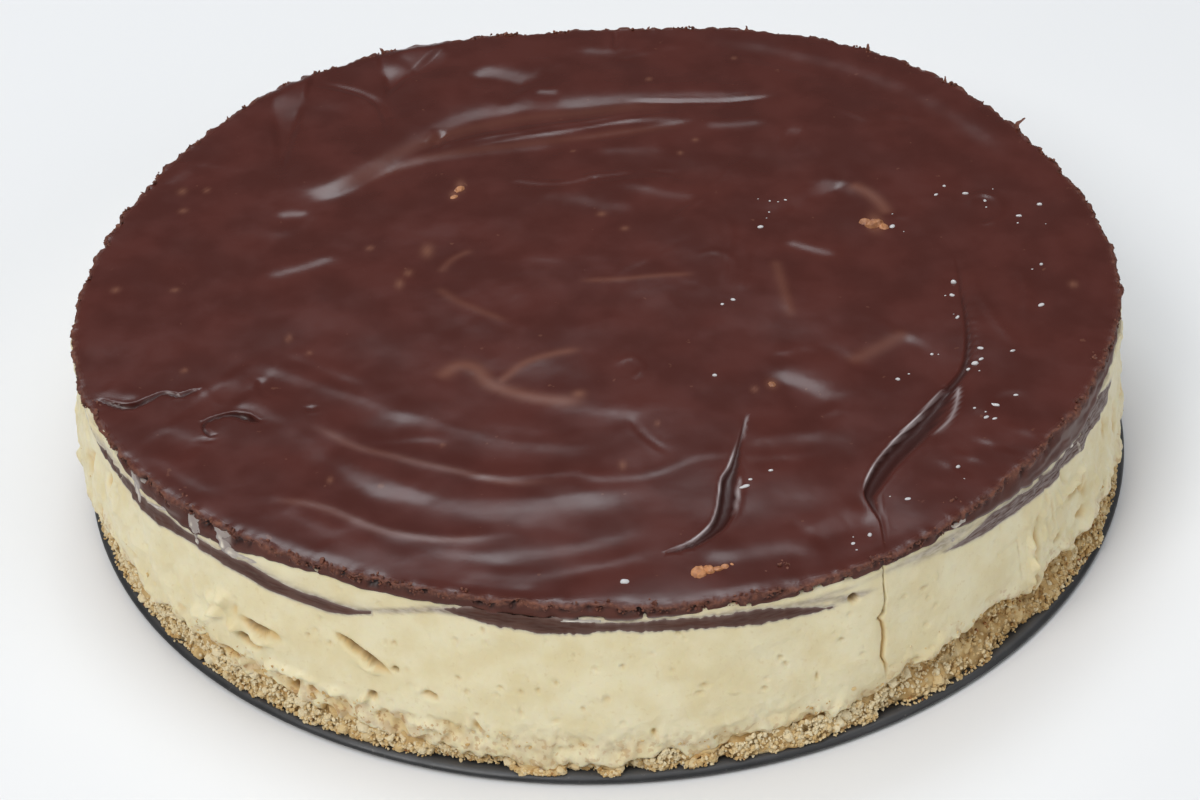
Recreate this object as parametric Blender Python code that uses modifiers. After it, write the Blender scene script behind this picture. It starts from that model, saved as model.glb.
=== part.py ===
"""A round ice cream cake standing on the base plate of its springform tin.

From the bottom up: a dark coated steel plate, a layer of pressed biscuit crumbs, a thick
layer of vanilla ice cream, and a thin layer of poured dark chocolate. Three thin lenses of
chocolate that ran down inside the tin lie flush in the ice cream's side. +Z is up, the
front is at -Y, and the origin is the middle of the plate's underside.
"""

import math

import bmesh
import bpy
from mathutils import Vector, noise

MM = 0.001
GAP = 0.3 * MM  # clearance between pieces that touch

# Base plate of a common 24 cm springform tin: a pressed sheet with a rolled edge.
PLATE_RADIUS = 124 * MM
PLATE_TOP = 2.4 * MM
PLATE_EDGE_BEND = 1.2 * MM
PLATE_HOLLOW_RADIUS = 110 * MM
PLATE_HOLLOW_DEPTH = 1.2 * MM
PLATE_STEPS = 96

# The cake's outline, seen from above. It was pressed a little out of round by the tin.
CAKE_CENTRE = Vector((-0.8, 1.6, 0)) * MM
CAKE_TOP = 43.4 * MM
RIM_RADIUS = 119.4 * MM
RIM_LOBES = ((2, 2.0, 8), (3, 0.9, 138), (4, 1.2, 138), (5, 1.4, -67), (6, 0.8, -22))  # order, mm, degrees

# At its foot the cake keeps the round of the tin's ring, so its side leans out from the smaller rim
# down to the plate, and the soft ice cream bellies out on the way.
FOOT_RADIUS = 121.8 * MM  # about the plate's middle
BELLY = 1.7 * MM
BELLY_SIDEWAYS = 0.8 * MM  # the left side sags this much more, and the right side this much less
BELLY_HEIGHT = 17 * MM
BELLY_REACH = 11 * MM

CRUMB_THICKNESS = 8.4 * MM
FRONT_SMEAR = (249, 301)  # degrees between which ice cream is smeared down over the crumbs
FRONT_SMEAR_DEPTH = 4.4 * MM
CHOCOLATE_THICKNESS = 3.0 * MM
EDGE_BAND = 9 * MM  # width of the uneven band round the rim, inside which the layers are level

TOP_CELLS = 40  # cells across the chocolate's top, which also gives four columns per cell round the rim
COLUMNS = 4 * TOP_CELLS

# Marks of the palette knife in the chocolate: half width, height, then the knife's path, all in mm
# from the cake's centre. A negative height is a groove.
KNIFE_STROKES = (
    (4.5, -1.3, ((84, 48), (85, 0), (80, -42), (60, -72), (57, -104))),
    (3.5, -1.5, ((32, -54), (26, -80), (17, -100))),
    (6.0, 0.8, ((-75, 30), (-50, 56), (0, 65), (34, 68))),
    (5.0, 0.7, ((-46, 66), (0, 78), (52, 82))),
    (5.0, 0.8, ((-75, -32), (-45, -56), (-5, -66))),
    (5.0, -0.8, ((-112, -40), (-88, -42), (-64, -56), (-30, -72), (30, -68))),
    (6.0, 0.8, ((-75, -54), (-35, -82), (15, -78))),
    (5.0, 0.6, ((-82, -70), (-50, -90), (-12, -95))),
    (5.0, 0.6, ((-36, -35), (-20, -40), (-3, -48))),
    (7.0, 0.9, ((-84, 84), (-64, 82), (-53, 66))),
    (6.0, 0.5, ((-40, 16), (-28, -12), (2, -22), (30, -4), (34, 24))),
)

# Chocolate lenses in the side: first and last angle in degrees, height of the middle at each in mm.
LENSES = {
    "chocolate_lens_left": (199, 245, 37.2, 33.8),
    "chocolate_lens_front": (256, 292, 38.9, 36.2),
    "chocolate_lens_right": (310, 342, 35.9, 33.4),
}
LENS_HEIGHT = 2.4 * MM
LENS_TIP_HEIGHT = 0.8 * MM
LENS_DEPTH = 6 * MM
LENS_ROWS = 2
LENS_COLUMN = 3.0  # degrees

# Where the tin's ring tore the ice cream as it came off: angle, height, half width, half height
# and depth, the last four in mm. A negative depth is a lump.
TEARS = (
    (245, 24.0, 6, 4, 1.6),
    (233, 19.0, 8, 4, 1.8),
    (227, 25.0, 4, 5, -1.2),
    (239, 14.0, 9, 3, -0.8),
    (322, 24.0, 9, 6, -0.9),
    (329, 18.0, 4, 7, 1.2),
    (62, 22.0, 8, 5, 1.2),
    (128, 18.0, 9, 4, -1.0),
)


def remove_everything():
    for thing in list(bpy.data.objects):
        bpy.data.objects.remove(thing, do_unlink=True)


def make_material(name, colour, roughness, metallic=0.0):
    material = bpy.data.materials.new(name)
    material.use_nodes = True
    shader = material.node_tree.nodes["Principled BSDF"]
    shader.inputs["Base Color"].default_value = (*colour, 1.0)
    shader.inputs["Roughness"].default_value = roughness
    shader.inputs["Metallic"].default_value = metallic
    return material


def smooth_step(low, high, value):
    share = min(max((value - low) / (high - low), 0.0), 1.0)
    return share * share * (3 - 2 * share)


def bell(distance, half_width):
    return math.exp(-((distance / half_width) ** 2))


def degrees_apart(angle, degrees):
    """Signed difference in degrees between an angle in radians and one in degrees."""
    return (math.degrees(angle) - degrees + 180) % 360 - 180


def unevenness(angle, height, size, seed):
    """A smooth random value between about -1 and 1 that changes over `size` metres of the side."""
    place = Vector((math.cos(angle) * RIM_RADIUS, math.sin(angle) * RIM_RADIUS, height))
    return noise.noise(place / size + Vector((seed, 0, 0)))


def rim_radius(angle):
    lobes = (size * math.cos(order * angle - math.radians(turn)) for order, size, turn in RIM_LOBES)
    return RIM_RADIUS + sum(lobes) * MM


def foot_radius(angle):
    """Distance from the cake's middle to the tin's ring, which is round about the plate's middle."""
    return FOOT_RADIUS - CAKE_CENTRE.x * math.cos(angle) - CAKE_CENTRE.y * math.sin(angle)


def side_radius(angle, height):
    share = (CAKE_TOP - height) / (CAKE_TOP - PLATE_TOP)
    lean = (foot_radius(angle) - rim_radius(angle)) * share
    belly = BELLY - BELLY_SIDEWAYS * math.cos(angle)
    return rim_radius(angle) + lean + belly * bell(height - BELLY_HEIGHT, BELLY_REACH)


def crumb_edge(angle):
    """Height at the side where the crumbs end and the ice cream begins."""
    first, last = FRONT_SMEAR
    turned = math.degrees(angle) % 360
    smear = smooth_step(first - 3, first + 3, turned) * smooth_step(last + 3, last - 3, turned)
    thickness = CRUMB_THICKNESS - FRONT_SMEAR_DEPTH * smear
    return PLATE_TOP + thickness + 1.6 * MM * unevenness(angle, 0, 14 * MM, 3)


def chocolate_edge(angle):
    """Height at the side where the ice cream ends and the chocolate begins."""
    return CAKE_TOP - CHOCOLATE_THICKNESS + 0.9 * MM * unevenness(angle, 0, 24 * MM, 11)


def tear_depth(angle, height):
    depth = 0
    for degrees, middle, half_width, half_height, deepest in TEARS:
        across = math.radians(degrees_apart(angle, degrees)) * RIM_RADIUS / MM
        depth += deepest * bell(across, half_width) * bell(height / MM - middle, half_height)
    return depth * MM


def smooth_path(points, samples=12):
    """Points along a Catmull-Rom curve through a knife's path."""
    points = [Vector(point) for point in points]
    points = [2 * points[0] - points[1], *points, 2 * points[-1] - points[-2]]
    path = []
    for before, start, end, after in zip(points, points[1:], points[2:], points[3:]):
        for step in range(samples):
            t = step / samples
            bend = (2 * before - 5 * start + 4 * end - after) * t * t
            twist = (3 * start - before - 3 * end + after) * t * t * t
            path.append((2 * start + (end - before) * t + bend + twist) / 2)
    path.append(points[-2])
    return path


KNIFE_PATHS = [(width, height, smooth_path(points)) for width, height, points in KNIFE_STROKES]


def knife_relief(x, y):
    """Height of the chocolate's swirls above its mean level, in metres, at a place in mm."""
    place = Vector((x, y))
    relief = 0.5 * noise.noise(Vector((x / 34, y / 34, 2)))
    for half_width, height, path in KNIFE_PATHS:
        nearest = min((place - point).length for point in path)
        relief += height * bell(nearest, half_width)
    return relief * MM


def ring_place(angle, radius, height):
    return CAKE_CENTRE + Vector((math.cos(angle) * radius, math.sin(angle) * radius, height))


def angle_of(vertex):
    return math.atan2(vertex.co.y - CAKE_CENTRE.y, vertex.co.x - CAKE_CENTRE.x)


def add_rings(mesh, edges, rings):
    """Extrude an open edge loop through rings, each a function from angle to radius and height."""
    for ring in rings:
        made = bmesh.ops.extrude_edge_only(mesh, edges=edges)["geom"]
        edges = [item for item in made if isinstance(item, bmesh.types.BMEdge)]
        for vertex in (item for item in made if isinstance(item, bmesh.types.BMVert)):
            angle = angle_of(vertex)
            vertex.co = ring_place(angle, *ring(angle))
    return edges


def finish_object(name, mesh, material, collection):
    """Close the mesh's faces outward, split them all alike and put it in the scene."""
    bmesh.ops.recalc_face_normals(mesh, faces=mesh.faces[:])
    bmesh.ops.triangulate(mesh, faces=mesh.faces[:], quad_method="SHORT_EDGE")
    data = bpy.data.meshes.new(name)
    mesh.to_mesh(data)
    mesh.free()
    data.materials.append(material)
    data.shade_smooth()
    data.set_sharp_from_angle(angle=math.radians(35))
    made = bpy.data.objects.new(name, data)
    collection.objects.link(made)
    return made


def stack_of_rings(name, rings, material):
    """A closed body: the first ring is capped below, the last above."""
    mesh = bmesh.new()
    bmesh.ops.create_circle(mesh, segments=COLUMNS, radius=RIM_RADIUS)
    first, *others = rings
    for vertex in mesh.verts:
        vertex.co += CAKE_CENTRE
        angle = angle_of(vertex)
        vertex.co = ring_place(angle, *first(angle))
    edges = mesh.edges[:]
    bmesh.ops.contextual_create(mesh, geom=edges)
    edges = add_rings(mesh, edges, others)
    bmesh.ops.contextual_create(mesh, geom=edges)
    return finish_object(name, mesh, material, cake_collection)


def crumb_row(share):
    """A ring of the crumbs' rough side, at a share of its height."""

    def ring(angle):
        bottom = PLATE_TOP + GAP
        height = bottom + (crumb_edge(angle) - bottom) * share
        rough = 1.3 * MM * unevenness(angle, height, 4 * MM, 5)
        return side_radius(angle, height) + rough - 0.6 * MM, height

    return ring


def ice_row(share):
    """A ring of the ice cream's side, at a share of its height."""

    def ring(angle):
        low, high = crumb_edge(angle) + GAP, chocolate_edge(angle) - GAP
        height = low + (high - low) * share
        rough = 0.5 * MM * unevenness(angle, height, 12 * MM, 7)
        overhang = 0.8 * MM * bell(share, 0.15)
        return side_radius(angle, height) + rough + overhang - tear_depth(angle, height), height

    return ring


def boundary(edge, band_height, offset):
    """The level band's inner ring and the edge ring of a boundary between two layers."""

    def inner(angle):
        return rim_radius(angle) - EDGE_BAND, band_height + offset

    def outer(angle):
        height = edge(angle)
        return side_radius(angle, height) - GAP, height + offset

    return inner, outer


def make_crumbs():
    level = PLATE_TOP + CRUMB_THICKNESS
    inner, outer = boundary(crumb_edge, level, 0)
    rows = [crumb_row(step / 5) for step in range(5)]
    return stack_of_rings("crumb_base", [*rows, outer, inner], crumb_material)


def make_ice_cream():
    low_inner, low_outer = boundary(crumb_edge, PLATE_TOP + CRUMB_THICKNESS, GAP)
    high_inner, high_outer = boundary(chocolate_edge, CAKE_TOP - CHOCOLATE_THICKNESS, -GAP)
    rows = [ice_row(step / 9) for step in range(1, 9)]
    rings = [low_inner, low_outer, *rows, high_outer, high_inner]
    return stack_of_rings("ice_cream", rings, ice_material)


def make_chocolate():
    """A square grid pressed round gives the top, and its border is run down for the side."""
    mesh = bmesh.new()
    bmesh.ops.create_grid(mesh, x_segments=TOP_CELLS, y_segments=TOP_CELLS, size=1)
    for vertex in mesh.verts:
        across, along = vertex.co.x, vertex.co.y
        share = max(abs(across), abs(along))
        if abs(across) >= abs(along):
            angle = math.pi / 4 * (along / across) if share else 0
            angle += math.pi if across < 0 else 0
        else:
            angle = math.pi / 2 - math.pi / 4 * (across / along)
            angle += math.pi if along < 0 else 0
        ragged = 0.6 * MM * unevenness(angle, 0, 6 * MM, 17) * smooth_step(0.9, 1, share)
        place = ring_place(angle, rim_radius(angle) * share + ragged, CAKE_TOP)
        from_centre = (place - CAKE_CENTRE) / MM
        place.z += knife_relief(from_centre.x, from_centre.y)
        vertex.co = place
    border = [edge for edge in mesh.edges if edge.is_boundary]

    def side(angle):
        height = (CAKE_TOP + chocolate_edge(angle)) / 2
        return side_radius(angle, height) + 0.5 * MM * unevenness(angle, height, 5 * MM, 19), height

    inner, outer = boundary(chocolate_edge, CAKE_TOP - CHOCOLATE_THICKNESS, 0)
    edges = add_rings(mesh, border, [side, outer, inner])
    bmesh.ops.contextual_create(mesh, geom=edges)
    return finish_object("chocolate_top", mesh, chocolate_material, cake_collection)


def lens_mesh(span, grow=0.0):
    """A lens between its face on the cake's side and an inner face `LENS_DEPTH` further in.

    `grow` makes it larger all round and lets it stand out of the side, to cut the lens's slot.
    """
    first, last, first_height, last_height = span
    mesh = bmesh.new()
    columns = round((last - first) / LENS_COLUMN)
    bmesh.ops.create_grid(mesh, x_segments=columns, y_segments=LENS_ROWS, size=1)
    outer = mesh.verts[:]
    for vertex in outer:
        along, up = (vertex.co.x + 1) / 2, vertex.co.y
        fullness = math.sqrt(max(math.sin(math.pi * along), 0))
        half = (LENS_TIP_HEIGHT + (LENS_HEIGHT - LENS_TIP_HEIGHT) * fullness) / 2 + grow
        past_end = math.copysign(grow, along - 0.5) / RIM_RADIUS if fullness < 0.01 else 0
        angle = math.radians(first + (last - first) * along) + past_end
        height = (first_height + (last_height - first_height) * along) * MM + up * half
        outward = LENS_DEPTH / 2 if grow else -GAP
        vertex.co = ring_place(angle, side_radius(angle, height) + outward, height)
    extruded = bmesh.ops.extrude_face_region(mesh, geom=mesh.faces[:])["geom"]
    for vertex in (item for item in extruded if isinstance(item, bmesh.types.BMVert)):
        angle = angle_of(vertex)
        inward = side_radius(angle, vertex.co.z) - LENS_DEPTH - grow
        vertex.co = ring_place(angle, inward, vertex.co.z)
    return mesh


def make_lens(name, span, ice_cream):
    finish_object(name, lens_mesh(span), chocolate_material, cake_collection)
    cutter = finish_object("cutter_" + name, lens_mesh(span, GAP), chocolate_material, cutter_collection)
    cutter.hide_render = True
    cutter.display_type = "WIRE"
    slot = ice_cream.modifiers.new("slot_" + name, "BOOLEAN")
    slot.operation = "DIFFERENCE"
    slot.object = cutter


def make_plate():
    """The plate's turned profile, from the middle of its top round to the middle of its underside."""
    profile = [(0, PLATE_TOP)]
    corner = PLATE_RADIUS - PLATE_EDGE_BEND
    for step in range(5):
        turn = math.pi / 2 * (1 - step / 4)
        across = corner + PLATE_EDGE_BEND * math.cos(turn)
        profile.append((across, PLATE_TOP - PLATE_EDGE_BEND * (1 - math.sin(turn))))
    profile += [(PLATE_RADIUS, 0.3 * MM), (PLATE_RADIUS - 0.3 * MM, 0)]
    profile += [(PLATE_HOLLOW_RADIUS, 0), (PLATE_HOLLOW_RADIUS - 2 * MM, PLATE_HOLLOW_DEPTH)]
    profile += [(0, PLATE_HOLLOW_DEPTH)]

    data = bpy.data.meshes.new("tin_base")
    points = [(across, 0, height) for across, height in profile]
    data.from_pydata(points, [(index, index + 1) for index in range(len(points) - 1)], [])
    data.materials.append(plate_material)
    plate = bpy.data.objects.new("tin_base", data)
    turned = plate.modifiers.new("turned", "SCREW")
    turned.steps = PLATE_STEPS
    turned.render_steps = PLATE_STEPS
    turned.use_merge_vertices = True
    turned.merge_threshold = 0.00001
    turned.use_smooth_shade = True
    cake_collection.objects.link(plate)
    return plate


remove_everything()
cake_collection = bpy.data.collections.new("ice_cream_cake")
cutter_collection = bpy.data.collections.new("cutters")
bpy.context.scene.collection.children.link(cake_collection)
bpy.context.scene.collection.children.link(cutter_collection)

plate_material = make_material("dark_coated_steel", (0.030, 0.030, 0.031), 0.45, 0.6)
crumb_material = make_material("biscuit_crumbs", (0.50, 0.34, 0.17), 0.9)
ice_material = make_material("vanilla_ice_cream", (0.75, 0.66, 0.42), 0.5)
chocolate_material = make_material("dark_chocolate", (0.075, 0.020, 0.014), 0.25)

make_plate()
make_crumbs()
ice_cream_layer = make_ice_cream()
make_chocolate()
for lens_name, lens_span in LENSES.items():
    make_lens(lens_name, lens_span, ice_cream_layer)
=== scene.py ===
# %% [markdown]
# # A round ice cream cake
# The cake stands on the dark steel base of its springform tin: pressed biscuit crumbs below, a thick
# layer of vanilla ice cream, and dark chocolate poured on top and swirled with a palette knife.
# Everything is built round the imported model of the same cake, which is loaded first and gives every size.

# %% Load the frame
import itertools
import math

import bmesh
import bpy
import numpy as np
from mathutils import Matrix, Vector


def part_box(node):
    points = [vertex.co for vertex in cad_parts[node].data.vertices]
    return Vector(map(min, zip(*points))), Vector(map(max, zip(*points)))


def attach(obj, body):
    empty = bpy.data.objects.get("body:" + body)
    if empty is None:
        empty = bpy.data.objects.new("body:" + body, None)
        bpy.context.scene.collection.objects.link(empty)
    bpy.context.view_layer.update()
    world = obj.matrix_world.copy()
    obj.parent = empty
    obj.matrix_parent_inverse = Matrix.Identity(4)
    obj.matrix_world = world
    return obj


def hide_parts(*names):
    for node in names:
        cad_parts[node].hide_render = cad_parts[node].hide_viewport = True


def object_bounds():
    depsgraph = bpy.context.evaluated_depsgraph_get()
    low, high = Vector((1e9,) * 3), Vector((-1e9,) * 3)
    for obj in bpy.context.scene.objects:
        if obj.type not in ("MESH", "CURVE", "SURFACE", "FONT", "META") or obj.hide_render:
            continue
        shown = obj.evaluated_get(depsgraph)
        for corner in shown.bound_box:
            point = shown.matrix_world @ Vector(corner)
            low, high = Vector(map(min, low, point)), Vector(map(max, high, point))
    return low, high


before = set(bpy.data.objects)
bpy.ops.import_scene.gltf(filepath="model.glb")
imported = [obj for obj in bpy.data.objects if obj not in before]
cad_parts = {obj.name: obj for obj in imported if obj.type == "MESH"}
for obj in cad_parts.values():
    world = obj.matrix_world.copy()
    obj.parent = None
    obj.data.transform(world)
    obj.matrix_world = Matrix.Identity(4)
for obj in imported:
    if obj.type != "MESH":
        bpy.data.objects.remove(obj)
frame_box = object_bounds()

print("nodes:", sorted(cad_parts))

# %% [markdown]
# ## Measures of the cake
# The shaping below works in millimetres from the middle of the cake, which sits a little off the middle
# of its plate. The outline isn't quite round, because the tin's ring pressed it. It could be typed in
# again as numbers, but reading it off the frame keeps the two models the same: the outermost points of
# the chocolate are found in each slice of five degrees, and a few waves are fitted through them.

# %% Read the outline off the frame
MM = 0.001
CAKE_CENTRE = np.array((-0.8, 1.6, 0.0))
CAKE_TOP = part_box("chocolate_top")[1].z / MM - 1.25  # the mean level, below the highest folds
PLATE_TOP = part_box("tin_base")[1].z / MM
FOOT_RADIUS = 121.8
WALL_RADIUS = 120  # turns millimetres along the wall into an angle and back
CORE_DEPTH = 9  # how far the hidden inner borders of the layers lie behind the rim


def waves_at(angle, orders=8):
    columns = [np.ones_like(angle)]
    for order in range(1, orders + 1):
        columns += [np.cos(order * angle), np.sin(order * angle)]
    return np.stack(columns, axis=-1)


def outline_of(node, lowest):
    flat = np.empty(len(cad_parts[node].data.vertices) * 3)
    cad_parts[node].data.vertices.foreach_get("co", flat)
    places = flat.reshape(-1, 3) / MM - CAKE_CENTRE
    places = places[places[:, 2] > lowest]
    angle, radius = np.arctan2(places[:, 1], places[:, 0]), np.hypot(places[:, 0], places[:, 1])
    cut = np.floor(np.degrees(angle) / 5)
    outermost = [np.flatnonzero(cut == one)[np.argmax(radius[cut == one])] for one in np.unique(cut)]
    return np.linalg.lstsq(waves_at(angle[outermost]), radius[outermost], rcond=None)[0]


RIM = outline_of("chocolate_top", CAKE_TOP - 1)


def smooth_step(low, high, value):
    share = np.clip((value - low) / (high - low), 0, 1)
    return share * share * (3 - 2 * share)


def between(value, start, full, fading, end):
    """Rises from 0 to 1 from start to full, and falls back from fading to end."""
    return smooth_step(start, full, value) * smooth_step(end, fading, value)


def bell(value):
    return np.exp(-(value * value))


def degrees_of(angle):
    return np.degrees(angle) % 360


def at(angle, radius, height):
    """Places at an angle and a distance from the middle of the cake."""
    return np.column_stack((np.cos(angle) * radius, np.sin(angle) * radius, height))


def rim_radius(angle):
    return waves_at(angle) @ RIM


def side_radius(angle, height):
    """The wall leans out from the rim to a foot round about the plate's middle, and swells on the way."""
    foot = FOOT_RADIUS - CAKE_CENTRE[0] * np.cos(angle) - CAKE_CENTRE[1] * np.sin(angle)
    lean = (foot - rim_radius(angle)) * (CAKE_TOP - height) / (CAKE_TOP - PLATE_TOP)
    return rim_radius(angle) + lean + (1.7 - 0.8 * np.cos(angle)) * bell((height - 17) / 11)


print(f"cake top {CAKE_TOP:.2f} mm, plate top {PLATE_TOP:.2f} mm, mean rim radius {RIM[0]:.2f} mm")

# %% [markdown]
# ## Unevenness
# Nothing on this cake is straight, and each of its surfaces needs unevenness at several scales. Blender's
# own noise works on one point at a time. Here it is a small block of random numbers, read smoothly
# between them for all points at once, which is fast enough for the hundred thousand points of the
# chocolate.

# %% A smooth random value for many points
BLOCK = np.random.default_rng(11).uniform(-1, 1, (32, 32, 32))
SKEW = np.array(((0.80, -0.36, 0.48), (0.60, 0.48, -0.64), (0.0, 0.80, 0.60)))


def unevenness(places, size, seed=0):
    """Values from about -1 to 1 that change smoothly over `size` millimetres."""
    spot = np.asarray(places, float) @ SKEW / size + seed * 5.37
    corner = np.floor(spot).astype(int)
    part = spot - corner
    part = part**3 * (part * (part * 6 - 15) + 10)
    total = np.zeros(len(spot))
    for step in itertools.product((0, 1), repeat=3):
        weight = np.prod(np.where(step, part, 1 - part), axis=1)
        total += weight * BLOCK[tuple(((corner + step) % 32).T)]
    return total * 1.6


def on_the_side(angle, height, stretch=1.0):
    """Points on a round wall, for unevenness. A stretch above 1 draws it out sideways."""
    across = WALL_RADIUS / stretch
    return np.stack((np.cos(angle) * across, np.sin(angle) * across, height + 0 * angle), axis=-1)


def table_round(rows):
    """A value that follows a table of degrees and millimetres right round the cake."""
    degrees, values = zip(*rows)
    return lambda angle: np.interp(degrees_of(angle), degrees, values, period=360)


sample = unevenness(np.random.default_rng(1).uniform(-100, 100, (1000, 3)), 10)
print(f"unevenness from {sample.min():.2f} to {sample.max():.2f}")

# %% [markdown]
# ## Where the layers meet
# Seen from the side the layers aren't level: the chocolate is 2 to 3 mm thick at the rim and thinner on
# the left, and the ice cream sags over the crumbs at the front. Two tables give the height of each
# boundary every few degrees, and a third how far the crumbs stay back from the foot of the wall. Degrees
# run anticlockwise from the right, so the front is at 270.

# %% Heights of the two boundaries
CHOCOLATE_EDGE = table_round((
    (0, 40.6), (30, 40.2), (60, 41.0), (95, 40.3), (130, 40.8), (165, 40.4), (185, 41.4), (198, 42.6),
    (206, 42.4), (208, 41.0), (211, 39.6), (214, 38.8), (219, 38.2), (223, 37.6), (226, 38.2), (229, 38.6),
    (230.5, 39.2), (232.5, 40.1), (235, 40.3), (239.5, 40.9), (241, 40.6), (245, 40.3), (250, 40.1),
    (255, 40.4), (257, 39.9), (262, 39.7), (266, 39.7), (270, 39.8), (274, 40.2), (277, 40.4), (279, 41.1),
    (281, 41.6), (282.5, 41.5), (284.2, 40.6), (287.6, 40.6), (289.3, 40.9), (291.7, 41.2), (295, 40.6),
    (305, 40.6), (307, 41.0), (309, 39.9), (311, 39.2), (313.8, 38.6), (317.2, 37.8), (320, 37.1),
    (322.7, 36.6), (325.4, 36.1), (330, 35.5), (336, 37), (345, 39.5),
))
CRUMB_EDGE = table_round((
    (0, 10.4), (25, 11.3), (50, 9.8), (75, 10.9), (100, 11.6), (125, 10.0), (150, 11.0), (180, 11),
    (200, 14), (207, 15.3), (210, 12.5), (215, 11.5), (219, 13.5), (222, 12), (226, 9.5), (230, 8.5),
    (232.7, 10), (235.2, 8), (238, 7.5), (242, 6.5), (246, 6.5), (250, 5.5), (255, 5.6), (259.6, 5.0),
    (260.6, 2.7), (264.4, 2.7), (265.4, 4.8), (268.2, 4.5), (269, 2.8), (270, 2.8), (270.8, 4.6),
    (272, 5.5), (275, 7.5), (276.4, 5.5), (277, 3.2), (278, 3.6), (279, 5.5), (281, 6.0), (284, 8.0),
    (287, 7.5), (290, 8.5), (293, 9.0), (296, 6.5), (297.5, 9.5), (299, 11), (300.2, 13.5), (302.2, 11.8),
    (304.3, 13.2), (306.5, 14.3), (308.5, 12.2), (311.8, 15), (313.8, 14.8), (317.2, 11.4), (320, 9.7),
    (320.8, 13), (323.3, 12.8), (325, 12.4), (327, 10.6), (330, 10.3), (331, 11.7), (334.6, 11.7),
    (345, 11),
))
FOOT_RECESS = table_round((
    (0, 0.3), (190, 0.2), (250.5, 0.2), (252, 1.9), (259, 1.9), (260.3, -0.3), (264.5, -0.3), (265.4, 1.8),
    (268, 1.8), (268.6, -0.2), (270.2, -0.2), (270.8, 1.8), (272.6, 1.8), (273.5, 0.3), (275.4, 0.4),
    (276, 1.4), (276.6, 0.2), (279.4, 0.2), (280.1, 1.7), (281, 1.7), (281.8, 0), (296.4, 0), (297.2, 1.9),
    (299.8, 1.9), (300.6, 0), (311, 0), (312.4, 1.9), (319.6, 1.9), (321, 0.2), (331, 0), (333, -1.2),
    (335, 0), (345, 0.2),
))


def chocolate_edge(angle):
    level = on_the_side(angle, 0)
    return CHOCOLATE_EDGE(angle) + 0.14 * unevenness(level, 3.5, 1) + 0.10 * unevenness(level, 1.4, 2)


def crumb_edge(angle):
    level = on_the_side(angle, 0)
    raised = CRUMB_EDGE(angle)
    ragged = 0.4 * unevenness(level, 5, 3) + 0.5 * unevenness(level, 1.8, 4)
    return raised + ragged * smooth_step(2.6, 5, raised)


for degrees in (180, 225, 270, 315):
    turn = np.radians([degrees])
    print(degrees, "crumbs to", crumb_edge(turn).round(1), "chocolate from", chocolate_edge(turn).round(1))

# %% [markdown]
# ## Helpers for pieces
# A piece starts as a bmesh, where operators make its faces. Its points are then moved together with
# numpy, kept inside the frame's box, and the finished mesh becomes an object at the origin that rides on
# the cake, takes its finish and stands in for its node of the frame.

# %% From a bmesh to a finished piece
LOWEST, HIGHEST = (np.array(corner) / MM for corner in frame_box)


def points_of(mesh):
    flat = np.empty(len(mesh.vertices) * 3)
    mesh.vertices.foreach_get("co", flat)
    return flat.reshape(-1, 3)


def place_points(mesh, places):
    """Set a mesh's points, given in mm from the middle of the cake."""
    inside = np.clip(places + CAKE_CENTRE, LOWEST + 0.02, HIGHEST - 0.02)
    mesh.vertices.foreach_set("co", (inside * MM).ravel())
    mesh.update()


def paint(mesh, name, values):
    layer = mesh.attributes.new(name, "FLOAT", "POINT")
    layer.data.foreach_set("value", np.ascontiguousarray(np.clip(values, 0, 1), dtype=np.float32))


def as_mesh(name, shape):
    mesh = bpy.data.meshes.new(name)
    shape.to_mesh(mesh)
    shape.free()
    return mesh


def of_kind(made, kind):
    return [item for item in made if isinstance(item, kind)]


def pushed_on(shape, edges, up):
    """Extrude edges up or down. Returns the new edges."""
    made = bmesh.ops.extrude_edge_only(shape, edges=edges)["geom"]
    bmesh.ops.translate(shape, verts=of_kind(made, bmesh.types.BMVert), vec=(0, 0, up))
    return of_kind(made, bmesh.types.BMEdge)


def slab(name, columns, rows):
    """A grid made into a closed slab."""
    shape = bmesh.new()
    bmesh.ops.create_grid(shape, x_segments=columns, y_segments=rows, size=1)
    made = bmesh.ops.extrude_face_region(shape, geom=shape.faces[:])["geom"]
    bmesh.ops.translate(shape, verts=of_kind(made, bmesh.types.BMVert), vec=(0, 0, 1))
    bmesh.ops.recalc_face_normals(shape, faces=shape.faces[:])
    return as_mesh(name, shape)


def add_object(name, data):
    thing = bpy.data.objects.new(name, data)
    bpy.context.scene.collection.objects.link(thing)
    return thing


def finish_piece(name, mesh, finish, slot, *nodes):
    mesh.materials.append(finish)
    mesh.shade_smooth()
    piece = add_object(name, mesh)
    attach(piece, "root")
    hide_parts(*nodes)
    mesh.calc_loop_triangles()
    print(f"{name}: {len(mesh.loop_triangles)} triangles")


# %% [markdown]
# ## Helpers for finishes
# Every finish is a node tree on the Principled shader. All patterns read object coordinates, in metres,
# so a pattern's size is given here in millimetres. Painted values that a mesh carries, such as how deeply
# a spot lies in a tear, come in through Attribute nodes.

# %% Node helpers
def new_finish(name, roughness, **sockets):
    finish = bpy.data.materials.new(name)
    finish.use_nodes = True
    shader = finish.node_tree.nodes["Principled BSDF"]
    shader.inputs["Roughness"].default_value = roughness
    for socket, value in sockets.items():
        shader.inputs[socket.replace("_", " ")].default_value = value
    return finish, finish.node_tree, shader


def add_node(tree, kind, inputs=(), **settings):
    node = tree.nodes.new("ShaderNode" + kind)
    for key, value in settings.items():
        setattr(node, key, value)
    for socket, value in dict(inputs).items():
        if isinstance(value, bpy.types.NodeSocket):
            tree.links.new(value, node.inputs[socket])
        else:
            node.inputs[socket].default_value = value
    return node


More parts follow.
